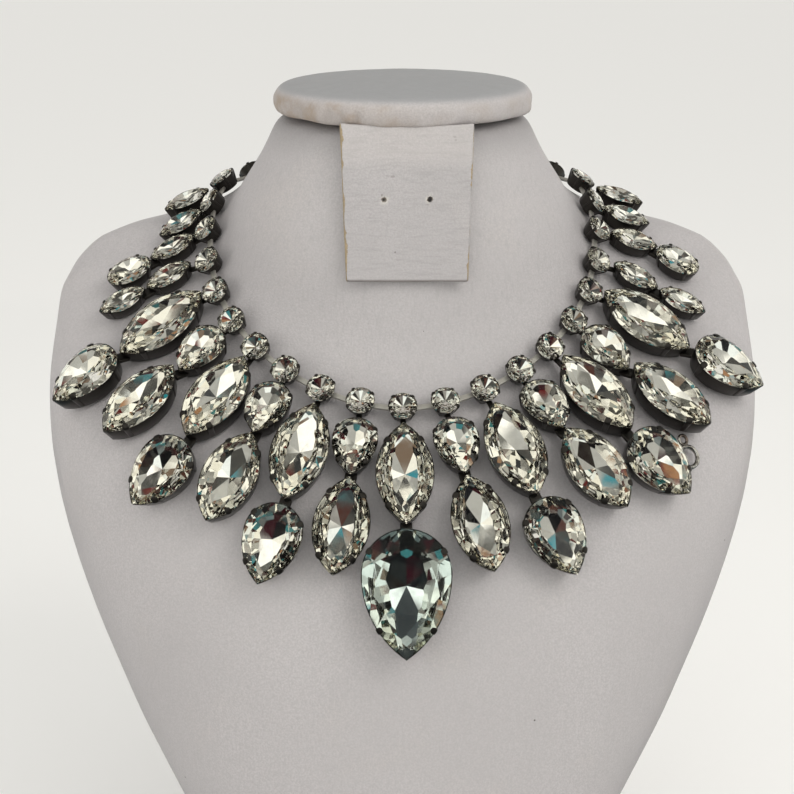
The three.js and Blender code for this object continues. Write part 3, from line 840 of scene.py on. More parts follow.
class Leatherette:
    """Pale coated fabric with faint patches, to which specks, grain, stains, wear and painted shade and
    shadow are added.
    """

    def __init__(self, name, tone=1.0):
        self.colour = shade(tuple(sizes().bust.leather), tone)
        self.shader = Shader(name, roughness=0.5, specular_ior_level=0.42)
        shader, colour = self.shader, self.colour
        patches = shader.noise(46, 4, shift=(3, 1, 0))
        body = shader.blend(shader.ramp(patches, 0.32, 0.7), shade(colour, 0.955), shade(colour, 1.045))
        warm = shader.noise(28, 3, shift=(0, 5, 2))
        body = shader.blend(shader.ramp(warm, 0.52, 0.78) * 0.35, body, (0.52, 0.475, 0.44))
        fine = shader.noise(0.55, 2)
        self.body = shader.blend(shader.ramp(fine, 0.3, 0.75), shade(colour, 0.87), body)

    def lay(self, share, colour):
        """Lays a colour over the body, where and as thickly as the share says."""
        self.body = self.shader.blend(share, self.body, colour)

    def specks_and_grain(self):
        """Rare dark specks, and the height of the fine grain."""
        shader = self.shader
        cells = {"Vector": shader.place(), "Scale": 1 / (9 * MM), "Randomness": 1.0}
        specks = shader.add("ShaderNodeTexVoronoi", None, cells)
        rarity = shader.noise(17, 1, shift=(7, 0, 4))
        self.lay((specks < 0.034) * shader.ramp(rarity, 0.56, 0.6) * 0.85, (0.09, 0.075, 0.07))
        cells = {"Vector": shader.place(), "Scale": 1 / (0.75 * MM), "Smoothness": 0.6}
        grain = shader.add("ShaderNodeTexVoronoi", {"feature": "SMOOTH_F1"}, cells)
        self.height = grain * 0.7 + shader.noise(0.35, 3) * 0.8 + shader.noise(2.4, 3) * 0.6

    def cap_stains_and_shade(self):
        """Handling marks round the cap's side over painted shade that darkens the side, most on the left, and
        painted shade in a darker cool grey on its top.
        """
        shader = self.shader
        facing = shader.add("ShaderNodeNewGeometry", output="Normal")
        level = shader.add("ShaderNodeSeparateXYZ", None, {"Vector": facing}, output="Z")
        stains = shader.ramp(shader.noise(9, 4, shift=(0, 4, 0), roughness=0.6), 0.38, 0.68)
        # Painted shade: the cap's side is darkened, more towards the left, and handling marks from the stain
        # noise are laid over it.
        left_shade = 0.35 + shader.ramp(shader.axis("X"), 20 * MM, -30 * MM) * 0.65
        rim = shader.ramp(level, 0.85, 0.3) * left_shade
        self.lay(rim * (0.35 + stains * 0.6), (0.34, 0.27, 0.21))
        # Painted shade: the upward-facing top is laid over with a darker cool grey.
        self.lay(shader.ramp(level, 0.55, 1.0) * 0.9, (0.315, 0.32, 0.33))

    def neck_streaks_and_cap_shadow(self, strength):
        """Fine upright lines, mostly on the neck, and a painted shadow under the cap."""
        shader = self.shader
        # Painted shadow: the neck is darkened just under the cap, where the cap's shadow falls.
        cap_shadow = shader.ramp(shader.axis("Z"), 236 * MM, 250 * MM)
        self.lay(cap_shadow * 0.75, shade(self.colour, 0.56))
        lines = shader.noise(1.1, 3, stretch=(1, 1, 0.12), roughness=0.6)
        self.height = self.height + lines * strength
        neck = 0.3 + shader.ramp(shader.axis("Z"), 120 * MM, 215 * MM) * 0.7
        self.lay(shader.ramp(lines, 0.5, 0.72) * neck * 0.5, shade(self.colour, 0.78))

    def level_wrinkles(self, strength):
        """Fine level lines, and a lighter band along the flap's top."""
        shader = self.shader
        lines = shader.noise(1.0, 4, stretch=(0.14, 1, 1), roughness=0.68)
        self.height = self.height + lines * strength
        self.lay(shader.ramp(lines, 0.46, 0.68) * 0.5, shade(self.colour, 0.74))
        self.lay(shader.ramp(shader.axis("Z"), 237 * MM, 244 * MM) * 0.25, (0.6, 0.56, 0.54))

    def distance_from(self, x, z, wide=1.0, tall=1.0):
        """How far a point of the flap is from a place on it, in widths and heights in millimetres."""
        across = (self.shader.axis("X") - x) / (wide * MM)
        up = (self.shader.axis("Z") - z) / (tall * MM)
        return (across * across + up * up) ** 0.5

    def torn_hole(self, x, z):
        """A pale, rough halo and a dark middle."""
        shader = self.shader
        distance = self.distance_from(x, z) + shader.noise(0.9, 2, shift=(x * 900, 0, 0)) * 1.3
        halo = shader.ramp(distance, 2.7, 1.5)
        torn = shader.ramp(shader.noise(1.3, 2, shift=(z, 2, 0)), 0.42, 0.6)
        self.lay(halo * torn * 0.7, (0.6, 0.58, 0.53))
        self.lay(shader.ramp(distance, 1.6, 1.25) * 0.85, (0.11, 0.085, 0.06))
        self.height = self.height + halo * shader.noise(0.7, 3, roughness=0.7) * 2.2

    def scuff(self, x, z, wide, tall, strength):
        """A ragged dark mark."""
        rough = self.shader.noise(0.8, 3, shift=(x * 700, 0, z * 300)) * 1.4
        ragged = self.distance_from(x, z, wide, tall) + rough
        self.lay(self.shader.ramp(ragged, 1.5, 0.9) * strength, (0.2, 0.18, 0.17))

    def worn_edges(self, left, right, top, tilt):
        """Bare board along both upright edges, and a dark hem along the lower one."""
        shader, look = self.shader, sizes().bust
        inward = shader.noise(3.2, 4, shift=(0, 2, 9), roughness=0.65)
        spots = shader.ramp(shader.noise(9, 2, shift=(4, 0, 1)), 0.4, 0.62)
        reach = 0.25 + inward * inward * (0.6 + 1.8 * spots)
        x = shader.axis("X")
        lean = (shader.axis("Z") - top) * tilt
        left_wear = shader.ramp((x + lean - left) - reach * MM, 0.2 * MM, -0.1 * MM)
        right_wear = shader.ramp((right - x + lean) - (reach - 0.28) * MM, 0.2 * MM, -0.1 * MM)
        worn = shader.ramp(left_wear + right_wear, 0.2, 0.9)
        board = tuple(look.worn)
        self.lay(worn, shader.blend(shader.noise(0.8, 3), shade(board, 0.55), shade(board, 1.35)))
        self.height = self.height - worn * 1.5
        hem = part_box("earring_flap")[0].z + look.flap_short
        self.lay(shader.ramp(shader.axis("Z"), hem + 0.75 * MM, hem + 0.45 * MM) * 0.6, (0.17, 0.15, 0.14))

    def finished(self):
        shader = self.shader
        shader.set("Base Color", self.body)
        shader.set("Roughness", 0.46 + shader.noise(3.5, 3) * 0.16)
        shader.set("Normal", shader.bump(self.height, 0.6, 0.14))
        return shader.material


def body_leatherette(name):
    cover = Leatherette(name)
    cover.specks_and_grain()
    cover.neck_streaks_and_cap_shadow(1.4)
    return cover.finished()


def cap_leatherette(name):
    cover = Leatherette(name)
    cover.cap_stains_and_shade()
    cover.specks_and_grain()
    return cover.finished()


def flap_leatherette(name):
    # The flap's leatherette is darkened to 0.9 as painted shade, for its upright face that gets less light
    # than the neck.
    cover = Leatherette(name, tone=0.9)
    cover.specks_and_grain()
    cover.level_wrinkles(1.8)
    for place in flap_holes():
        cover.torn_hole(*place)
    for mark in flap_scuffs():
        cover.scuff(*mark)
    cover.worn_edges(*flap_edges())
    return cover.finished()


def crystal_glass(name, colour):
    look = sizes().crystal
    shader = Shader(name, roughness=0.0, transmission_weight=1.0, ior=look.ior)
    shader.set("Specular Tint", (look.gloss, look.gloss, look.gloss))
    veil = shader.ramp(shader.noise(7, 2), 0.3, 0.7)
    shader.set("Base Color", shader.blend(veil, tuple(colour), shade(tuple(colour), 0.985)))
    return shader.material


def crystal_foil(name):
    look = sizes().crystal
    shader = Shader(name, metallic=1.0)
    tint = shader.ramp(shader.noise(2.6, 2), 0.35, 0.8)
    shader.set("Base Color", shader.blend(tint, tuple(look.foil), shade(tuple(look.foil), 0.9)))
    shader.set("Roughness", 0.02 + tint * 0.03)
    return shader.material


def gunmetal(name):
    """Dark plating, rubbed to a lighter grey in places."""
    colour = tuple(sizes().setting.metal)
    shader = Shader(name, metallic=1.0)
    rubbed = shader.ramp(shader.noise(1.3, 4), 0.42, 0.68)
    shader.set("Base Color", shader.blend(rubbed * 0.7, colour, (0.38, 0.37, 0.35)))
    shader.set("Roughness", 0.16 + shader.noise(0.8, 3) * 0.22)
    shader.set("Normal", shader.bump(shader.noise(0.5, 3), 0.25, 0.05))
    return shader.material


def bright_metal(name, roughness=0.16):
    """Silver plating, brown on some links, with darker patches as painted reflection."""
    colour = tuple(sizes().setting.bright)
    shader = Shader(name, metallic=1.0)
    brown_patches = shader.ramp(shader.noise(11, 2, shift=(2, 0, 5)), 0.48, 0.58)
    body = shader.blend(brown_patches * 0.8, colour, (0.16, 0.1, 0.075))
    # Painted reflection: darker patches stand in for the dark surroundings that the metal mirrors.
    dark_reflection = shader.ramp(shader.noise(1.8, 3), 0.48, 0.62)
    shader.set("Base Color", shader.blend(dark_reflection * 0.6, body, (0.14, 0.12, 0.105)))
    shader.set("Roughness", roughness + shader.noise(1.2, 3) * roughness)
    shader.set("Normal", shader.bump(shader.noise(1.5, 2), 0.5, 0.3))
    return shader.material


def flap_edges():
    """The flap's two edges at its top, its top, and how much each edge leans in below it."""
    low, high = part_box("earring_flap")
    narrowing = (high.x - low.x) * (1 - sizes().bust.flap_taper) / 2
    return low.x, high.x, high.z, narrowing / (high.z - low.z)


def flap_place(across, up):
    """A place on the flap, from the middle of its lower end, in millimetres."""
    low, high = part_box("earring_flap")
    return (low.x + high.x) / 2 + across * MM, low.z + up * MM


def flap_holes():
    """The middles of the two earring holes."""
    return [flap_place(-7, 26.4), flap_place(7, 26.4)]


Scuff = namedtuple("Scuff", "across up wide tall strength")
SCUFFS = (
    Scuff(-4.2, 33, 1.3, 0.5, 0.5),
    Scuff(-5.6, 33.2, 2.0, 0.3, 0.3),
    Scuff(14.3, 44.5, 1.5, 0.4, 0.45),
    Scuff(14.8, 43.6, 0.5, 0.8, 0.3),
    Scuff(13.5, 35.5, 0.25, 0.25, 0.7),
    Scuff(-7.6, 27.6, 0.5, 0.9, 0.75),
    Scuff(-9.5, 25.8, 1.6, 0.25, 0.25),
    Scuff(20.4, 41, 0.35, 3.2, 0.8),
    Scuff(19.9, 34.2, 0.6, 0.6, 0.9),
    Scuff(19.6, 29, 0.25, 1.6, 0.6),
    Scuff(6.2, 25, 1.2, 0.4, 0.4),
    Scuff(0, 2.7, 30, 0.18, 0.55),
    Scuff(-18.2, 2.9, 0.8, 0.4, 0.9),
)


def flap_scuffs():
    """The scuffs, each at its place on the flap."""
    return [(*flap_place(scuff.across, scuff.up), *scuff[2:]) for scuff in SCUFFS]


MATERIALS = {
    "leatherette_body": body_leatherette,
    "leatherette_cap": cap_leatherette,
    "leatherette_flap": flap_leatherette,
    "crystal_glass": lambda name: crystal_glass(name, sizes().crystal.glass),
    "cool_crystal_glass": lambda name: crystal_glass(name, sizes().crystal.cool_glass),
    "crystal_foil": crystal_foil,
    "gunmetal": gunmetal,
    "bright_metal": bright_metal,
    "polished_metal": lambda name: bright_metal(name, roughness=0.05),
}


def material(name):
    return bpy.data.materials.get(name) or MATERIALS[name](name)


# ---------------------------------------------------------------- operators


class NECKLACE_OT_bust_skin(bpy.types.Operator):
    """Covers the bust with a fine, even skin"""

    bl_idname = "necklace.bust_skin"
    bl_label = "Bust Skin"

    def execute(self, context):
        form = sizes().bust
        skin = placed_copy(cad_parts["bust_body"], Matrix.Identity(4))
        skin.parent = None
        for key in list(skin.keys()):
            del skin[key]
        call(skin, "bust_skin")
        only(skin)
        bpy.ops.object.mode_set(mode="EDIT")
        bpy.ops.mesh.select_all(action="SELECT")
        bpy.ops.mesh.remove_doubles(threshold=1e-5)
        close_edit()
        skin.data.remesh_voxel_size = form.grain
        bpy.ops.object.voxel_remesh()
        modify(skin, "SMOOTH", factor=0.5, iterations=form.smoothing)
        modify(skin, "SUBSURF", levels=1, render_levels=1)
        finish_in(skin, "leatherette_body")
        smooth(skin)
        hand_over(skin, "leatherette", "bust_body")
        return {"FINISHED"}


SWELLING_FRAMES = 16
Fold = namedtuple("Fold", "angle depth width")
FRONT_FOLDS = (
    Fold(-2.17, 2.4, 0.022),
    Fold(-2.06, 1.2, 0.02),
    Fold(-1.93, 2.0, 0.022),
    Fold(-1.6, 0.6, 0.03),
    Fold(-1.4, 0.8, 0.02),
    Fold(-2.5, 1.3, 0.02),
)


class NECKLACE_OT_bust_cap(bpy.types.Operator):
    """Stuffs the padded oval top of the neck"""

    bl_idname = "necklace.bust_cap"
    bl_label = "Bust Cap"

    def execute(self, context):
        low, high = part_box("bust_cap")
        cap = self.block(low, high)
        self.stuff(cap, low)
        self.pucker(cap, low, high)
        modify(cap, "SMOOTH", factor=0.5, iterations=2)
        modify(cap, "SUBSURF", levels=1, render_levels=1)
        fit_to_box(cap, low, high + UP * sizes().bust.cap_rise)
        finish_in(cap, "leatherette_cap")
        smooth(cap)
        hand_over(cap, "leatherette", "bust_cap")
        return {"FINISHED"}

    def block(self, low, high):
        """The pad before it swells: an oval slab, a little small, with soft edges."""
        size = high - low
        middle = (low + high) / 2
        slack = 1.6 * MM
        thickness = size.z - 1.4 * MM
        cap = start(
            bpy.ops.mesh.primitive_cylinder_add,
            "bust_cap_pad",
            vertices=96,
            radius=0.5,
            depth=1,
            location=(middle.x, middle.y, low.z + thickness / 2),
            scale=(size.x - slack, size.y - slack, thickness),
        )
        pick_edges(cap, lambda a, b: abs(a.z - b.z) < 1e-5 and a.z > middle.z)
        bpy.ops.mesh.bevel(offset=sizes().bust.cap_edge, segments=6)
        pick_edges(cap, lambda a, b: abs(a.z - b.z) < 1e-5 and a.z < low.z + 0.1 * MM)
        bpy.ops.mesh.bevel(offset=1.5 * MM, segments=3)
        close_edit()
        modify(cap, "REMESH", mode="VOXEL", voxel_size=1.5 * MM)
        modify(cap, "SMOOTH", factor=0.5, iterations=10)
        return cap

    def stuff(self, cap, low):
        """Lets the covering swell as cloth over its foam, held at its lower edge."""
        held = cap.vertex_groups.new(name="held")
        held.add([v.index for v in cap.data.vertices if v.co.z < low.z + 1.6 * MM], 1.0, "REPLACE")
        before = mesh_points(cap.data)
        cloth = cap.modifiers.new("Cloth", "CLOTH")
        cloth.settings.use_pressure = True
        cloth.settings.uniform_pressure_force = 4
        cloth.settings.effector_weights.gravity = 0
        cloth.settings.vertex_group_mass = "held"
        cloth.settings.quality = 4
        cloth.settings.tension_stiffness = 25
        cloth.settings.bending_stiffness = 2
        for number in range(1, SWELLING_FRAMES + 1):
            bpy.context.scene.frame_set(number)
        only(cap)
        bpy.ops.object.modifier_apply(modifier=cloth.name)
        bpy.context.scene.frame_set(1)
        moved = mesh_points(cap.data) - before
        length = np.linalg.norm(moved, axis=1)[:, None]
        moved *= np.minimum(1, sizes().bust.cap_swell / np.maximum(length, 1e-9))
        move_points(cap.data, before + moved)

    def pucker(self, cap, low, high):
        """Gathers the covering in small folds round its lower edge, deepest at the front left."""
        middle = (low + high) / 2
        half = (high - low) / 2
        rng = np.random.default_rng(3)
        folds = [
            Fold(angle, 0.35 + 0.3 * rng.random(), 0.05 + 0.04 * rng.random())
            for angle in rng.uniform(-3.1, 3.1, 26)
        ]
        folds += FRONT_FOLDS
        points = mesh_points(cap.data)
        x, y = (points[:, 0] - middle.x) / half.x, (points[:, 1] - middle.y) / half.y
        turn, reach = np.arctan2(y, x), np.hypot(x, y)
        up = (points[:, 2] - low.z) / (high.z - low.z)
        band = np.exp(-(((up - 0.22) / 0.24) ** 2)) * np.clip((reach - 0.8) / 0.1, 0, 1)
        depth = np.zeros(len(points))
        for fold in folds:
            depth += fold.depth * np.exp(-(((turn - fold.angle) / fold.width) ** 2))
        wave = 0.25 * np.sin(turn * 7 + 0.6) + 0.2 * np.sin(turn * 13 + 2)
        inward = band * (depth + wave + 0.2) * MM
        points[:, 0] -= inward * x / np.maximum(reach, 0.1)
        points[:, 1] -= inward * y / np.maximum(reach, 0.1)
        points[:, 2] += band * (wave - 0.3 * depth) * 0.8 * MM
        move_points(cap.data, points)


class NECKLACE_OT_earring_flap(bpy.types.Operator):
    """Makes the flap that hangs down the throat, with its two torn holes"""

    bl_idname = "necklace.earring_flap"
    bl_label = "Earring Flap"

    def execute(self, context):
        form = sizes().bust
        low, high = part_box("earring_flap")
        faces = [region for region in flat_regions("earring_flap") if region.normal.y < -0.5]
        front = max(faces, key=lambda region: region.area)
        down = Vector((1, 0, 0)).cross(front.normal)
        down *= -math.copysign(1, down.z)
        thickness = form.flap_thickness * abs(front.normal.y)
        half_tall = (high.z - low.z) / abs(down.z) / 2
        top = half_tall + form.flap_tuck / abs(down.z)
        bottom = -half_tall + form.flap_short / abs(down.z)
        flap = self.board(high.x - low.x, thickness, top, bottom)
        middle = (low + high) / 2
        for (x, z), radius in zip(flap_holes(), (0.5 * MM, 0.72 * MM)):
            self.punch_hole(flap, (x - middle.x, 0, (z - middle.z) / abs(down.z)), radius)
        tilt = Matrix((Vector((1, 0, 0)), -front.normal, -down)).transposed().to_4x4()
        flap.data.transform(Matrix.Translation(front.centre - front.normal * thickness / 2) @ tilt)
        modify(flap, "REMESH", mode="VOXEL", voxel_size=0.32 * MM)
        modify(flap, "SMOOTH", factor=0.5, iterations=3)
        self.hollow_top(flap, low, high, high.z + form.flap_tuck, 1.1 * MM)
        crumple = bpy.data.textures.new("flap_crumple", "CLOUDS")
        crumple.noise_scale = 14 * MM
        modify(flap, "DISPLACE", texture=crumple, strength=0.45 * MM, mid_level=0.5, texture_coords="LOCAL")
        finish_in(flap, "leatherette_flap")
        smooth(flap)
        hand_over(flap, "leatherette", "earring_flap")
        return {"FINISHED"}

    def board(self, width, thickness, top, bottom):
        """The flat flap, which narrows downwards."""
        middle = (0, 0, (top + bottom) / 2)
        flap = start_block("earring_flap_board", middle, (width, thickness, top - bottom))
        pick_faces(flap, lambda centre, normal: normal.z < -0.9)
        resize_about((0, 0, bottom), (sizes().bust.flap_taper, 1, 1))
        bpy.ops.mesh.select_all(action="SELECT")
        bpy.ops.mesh.bevel(offset=0.5 * MM, segments=3)
        close_edit()
        return flap

    def punch_hole(self, flap, centre, radius):
        """Punches an uneven hole through the flap."""
        length = 6 * MM
        punch = start(
            bpy.ops.mesh.primitive_cylinder_add,
            "punch",
            vertices=9,
            radius=radius,
            depth=length,
            location=centre,
            rotation=(math.pi / 2, 0, 0),
        )
        pick_edges(punch, lambda a, b: (a - b).length > length * 5 / 6 and a.x > centre[0])
        resize_about(centre, (0.7, 1, 1.5))
        close_edit()
        modify(flap, "BOOLEAN", object=punch, operation="DIFFERENCE", solver="EXACT")
        bpy.data.objects.remove(punch)

    def hollow_top(self, flap, low, high, top, lift):
        """Draws the top edge down in its middle, where it tucks into the cap."""
        points = mesh_points(flap.data)
        across = (points[:, 0] - (low.x + high.x) / 2) / ((high.x - low.x) / 2)
        near = np.clip(1 - (top - points[:, 2]) / (4 * MM), 0, 1) ** 2
        points[:, 2] -= lift * (1 - across**2) * near
        move_points(flap.data, points)


class NECKLACE_OT_crystals(bpy.types.Operator):
    """Cuts every crystal of the columns and of the chain"""

    bl_idname = "necklace.crystals"
    bl_label = "Crystals"

    def execute(self, context):
        cuts = {}
        for seat in seats:
            if seat.cut not in cuts:
                cuts[seat.cut] = model_crystal(seat.cut, f"cut_{len(cuts)}")
            crystal = placed_copy(cuts[seat.cut], seat.place)
            call(crystal, seat.node.replace("crystal", "faceted_crystal"))
            hand_over(crystal, "crystal", seat.node)
        pattern = model_crystal(round_cut, "cut_round")
        for node in ("chain_left", "chain_front", "chain_right"):
            copies = [placed_copy(pattern, item.place) for item in rounds if item.node == node]
            hand_over(joined(copies, node.replace("chain", "chain_rounds")), "crystal")
        for pattern in [*cuts.values(), pattern]:
            bpy.data.objects.remove(pattern)
        return {"FINISHED"}


BAR_INSET = 1.4 * MM  # how far inside a crystal's outline a bar is soldered to its cup


class NECKLACE_OT_settings(bpy.types.Operator):
    """Forms the cups and claws of every column and of the chain"""

    bl_idname = "necklace.settings"
    bl_label = "Settings and Chain"

    def execute(self, context):
        self.patterns = {}
        owners = sorted({seat.owner for seat in seats} | {item.node for item in rounds})
        pieces = {owner: [] for owner in owners}
        for seat in seats:
            pieces[seat.owner] += self.clawed_cup(seat.cut, seat.place)
        for item in rounds:
            pieces[item.node] += self.clawed_cup(round_cut, item.place)
        for owner, bars in self.bars().items():
            pieces[owner] += bars
        for owner, parts in pieces.items():
            hand_over(joined(parts, f"{owner}_metal"), "gunmetal", owner)
        for pattern in self.patterns.values():
            bpy.data.objects.remove(pattern)
        return {"FINISHED"}

    def clawed_cup(self, cut, place):
        if ("cup", cut) not in self.patterns:
            self.patterns["cup", cut] = model_cup(cut, "cup")
            self.patterns["claw", cut] = model_claw(cut, "claw")
        cup = placed_copy(self.patterns["cup", cut], place)
        claws = [placed_copy(self.patterns["claw", cut], place @ stand) for stand in claw_places(cut)]
        return [cup, *claws]

    def bars(self):
        """The bars that hang each column from its round and join its two cups."""
        form = sizes().setting
        bars = {}
        for seat in seats:
            if seat.level == "upper":
                above = rounds[len(rounds) // 2 + seat.side * seat.number].place
                first = point_in(above, 0, 0, -ROUND_DEPTH + 1.2 * MM)
                upward, width, thickness = normal_in(above), form.hook, form.hook_height
            else:
                column = [other for other in seats if (other.side, other.number) == (seat.side, seat.number)]
                upper = next(other for other in column if other.level == "upper")
                lower_end = upper.cut.length / 2 - BAR_INSET
                first = point_in(upper.place, 0, lower_end, -upper.cut.depth + 2.2 * MM)
                upward, width, thickness = normal_in(upper.place), form.bridge, form.bridge_height
            upper_end = -seat.cut.length / 2 + BAR_INSET
            last = point_in(seat.place, 0, upper_end, -seat.cut.depth + 2.0 * MM)
            normal = upward + normal_in(seat.place)
            bar = model_bar("bar", first, last, normal, width, thickness, "gunmetal")
            bars.setdefault(seat.owner, []).append(bar)
        return bars


class NECKLACE_OT_links(bpy.types.Operator):
    """Makes the bright bars between the rounds of the chain"""

    bl_idname = "necklace.links"
    bl_label = "Links"

    def execute(self, context):
        links = {}
        for here, beyond in zip(rounds, rounds[1:]):
            node = here.node if here.node != "chain_front" else beyond.node
            normal = normal_in(here.place) + normal_in(beyond.place)
            link = self.link(self.end(here), self.end(beyond), normal)
            links.setdefault(node, []).append(link)
        low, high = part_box("nape_clasp")
        for item, end in ((rounds[0], low.x), (rounds[-1], high.x)):
            inside = end - math.copysign(1.5 * MM, end)
            last = Vector((inside, (low.y + high.y) / 2, (low.z + high.z) / 2))
            links[item.node].append(self.link(self.end(item), last, normal_in(item.place)))
        for node, bars in links.items():
            hand_over(joined(bars, node.replace("chain", "chain_links")), "bright_metal")
        return {"FINISHED"}

    def end(self, item):
        """Where a round's links are soldered to it."""
        return point_in(item.place, 0, 0, -sizes().setting.link_level)

    def link(self, first, last, normal):
        form = sizes().setting
        return model_bar("link", first, last, normal, form.link, form.link_height, "bright_metal")


class NECKLACE_OT_side_ring(bpy.types.Operator):
    """Bends the small ring and its oval link"""

    bl_idname = "necklace.side_ring"
    bl_label = "Side Ring"

    radius: length_of("Radius", "Middle radius of the ring", 3.3)
    wire: length_of("Wire", "Radius of the ring's wire", 0.75)
    link_radius: length_of("Link radius", "Middle radius of the oval link, across it", 1.3)
    link_wire: length_of("Link wire", "Radius of the oval link's wire", 0.5)
    growth: length_of("Growth", "How far the ring is moved out of its solid, away from the crystal", 0.7)

    def execute(self, context):
        points = node_points("side_ring")
        middle = points.mean(0)
        _, directions = np.linalg.eigh(np.cov((points - middle).T))
        normal, along = Vector(directions[:, 0]), Vector(directions[:, 2])
        if normal.y > 0:
            normal.negate()
        reach = (points - middle) @ np.array(along)
        wide_end = max((-1, 1), key=lambda sign: (sign * reach > 0.4 * (sign * reach).max()).sum())
        along = along * wide_end
        reach = reach * wide_end
        outer = self.radius + self.wire
        aside = (Vector((1, 0, 0)) - normal * normal.x).normalized()
        centre = Vector(middle) + along * (reach.max() - outer + self.growth) + aside * self.growth
        place = axes_frame(centre + normal * self.growth * 0.5, along, normal)
        overlap = 0.6 * MM
        half_link = (reach.max() - reach.min()) / 2 - outer + overlap
        ring = self.bend("ring", self.radius, self.wire, (1, 1, 1), (0, 0, 0))
        stretch = (half_link - self.link_wire) / self.link_radius
        link_middle = (0, overlap - outer - half_link, 0.25 * MM)
        link = self.bend("link", self.link_radius, self.link_wire, (1, stretch, 1), link_middle)
        piece = joined([ring, link], "side_ring_wire")
        piece.data.transform(place)
        finish_in(piece, "polished_metal")
        smooth(piece)
        hand_over(piece, "bright_metal", "side_ring")
        return {"FINISHED"}

    def bend(self, name, radius, wire, stretch, centre):
        piece = start(
            bpy.ops.mesh.primitive_torus_add,
            name,
            major_radius=radius,
            minor_radius=wire,
            major_segments=40,
            minor_segments=12,
        )
        bpy.ops.mesh.select_all(action="SELECT")
        resize_about((0, 0, 0), stretch)
        bpy.ops.transform.translate(value=centre)
        close_edit()
        return piece


class NECKLACE_OT_clasp(bpy.types.Operator):
    """Finishes the plain clasp at the nape"""

    bl_idname = "necklace.clasp"
    bl_label = "Clasp"

    def execute(self, context):
        finish_in(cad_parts["nape_clasp"], "bright_metal")
        return {"FINISHED"}


# the cards with coloured patches, by the starts of their names
ACCENTED = ("card_window", "card_veil", "card_brow", "card_sky", "card_back", "card_side_left")


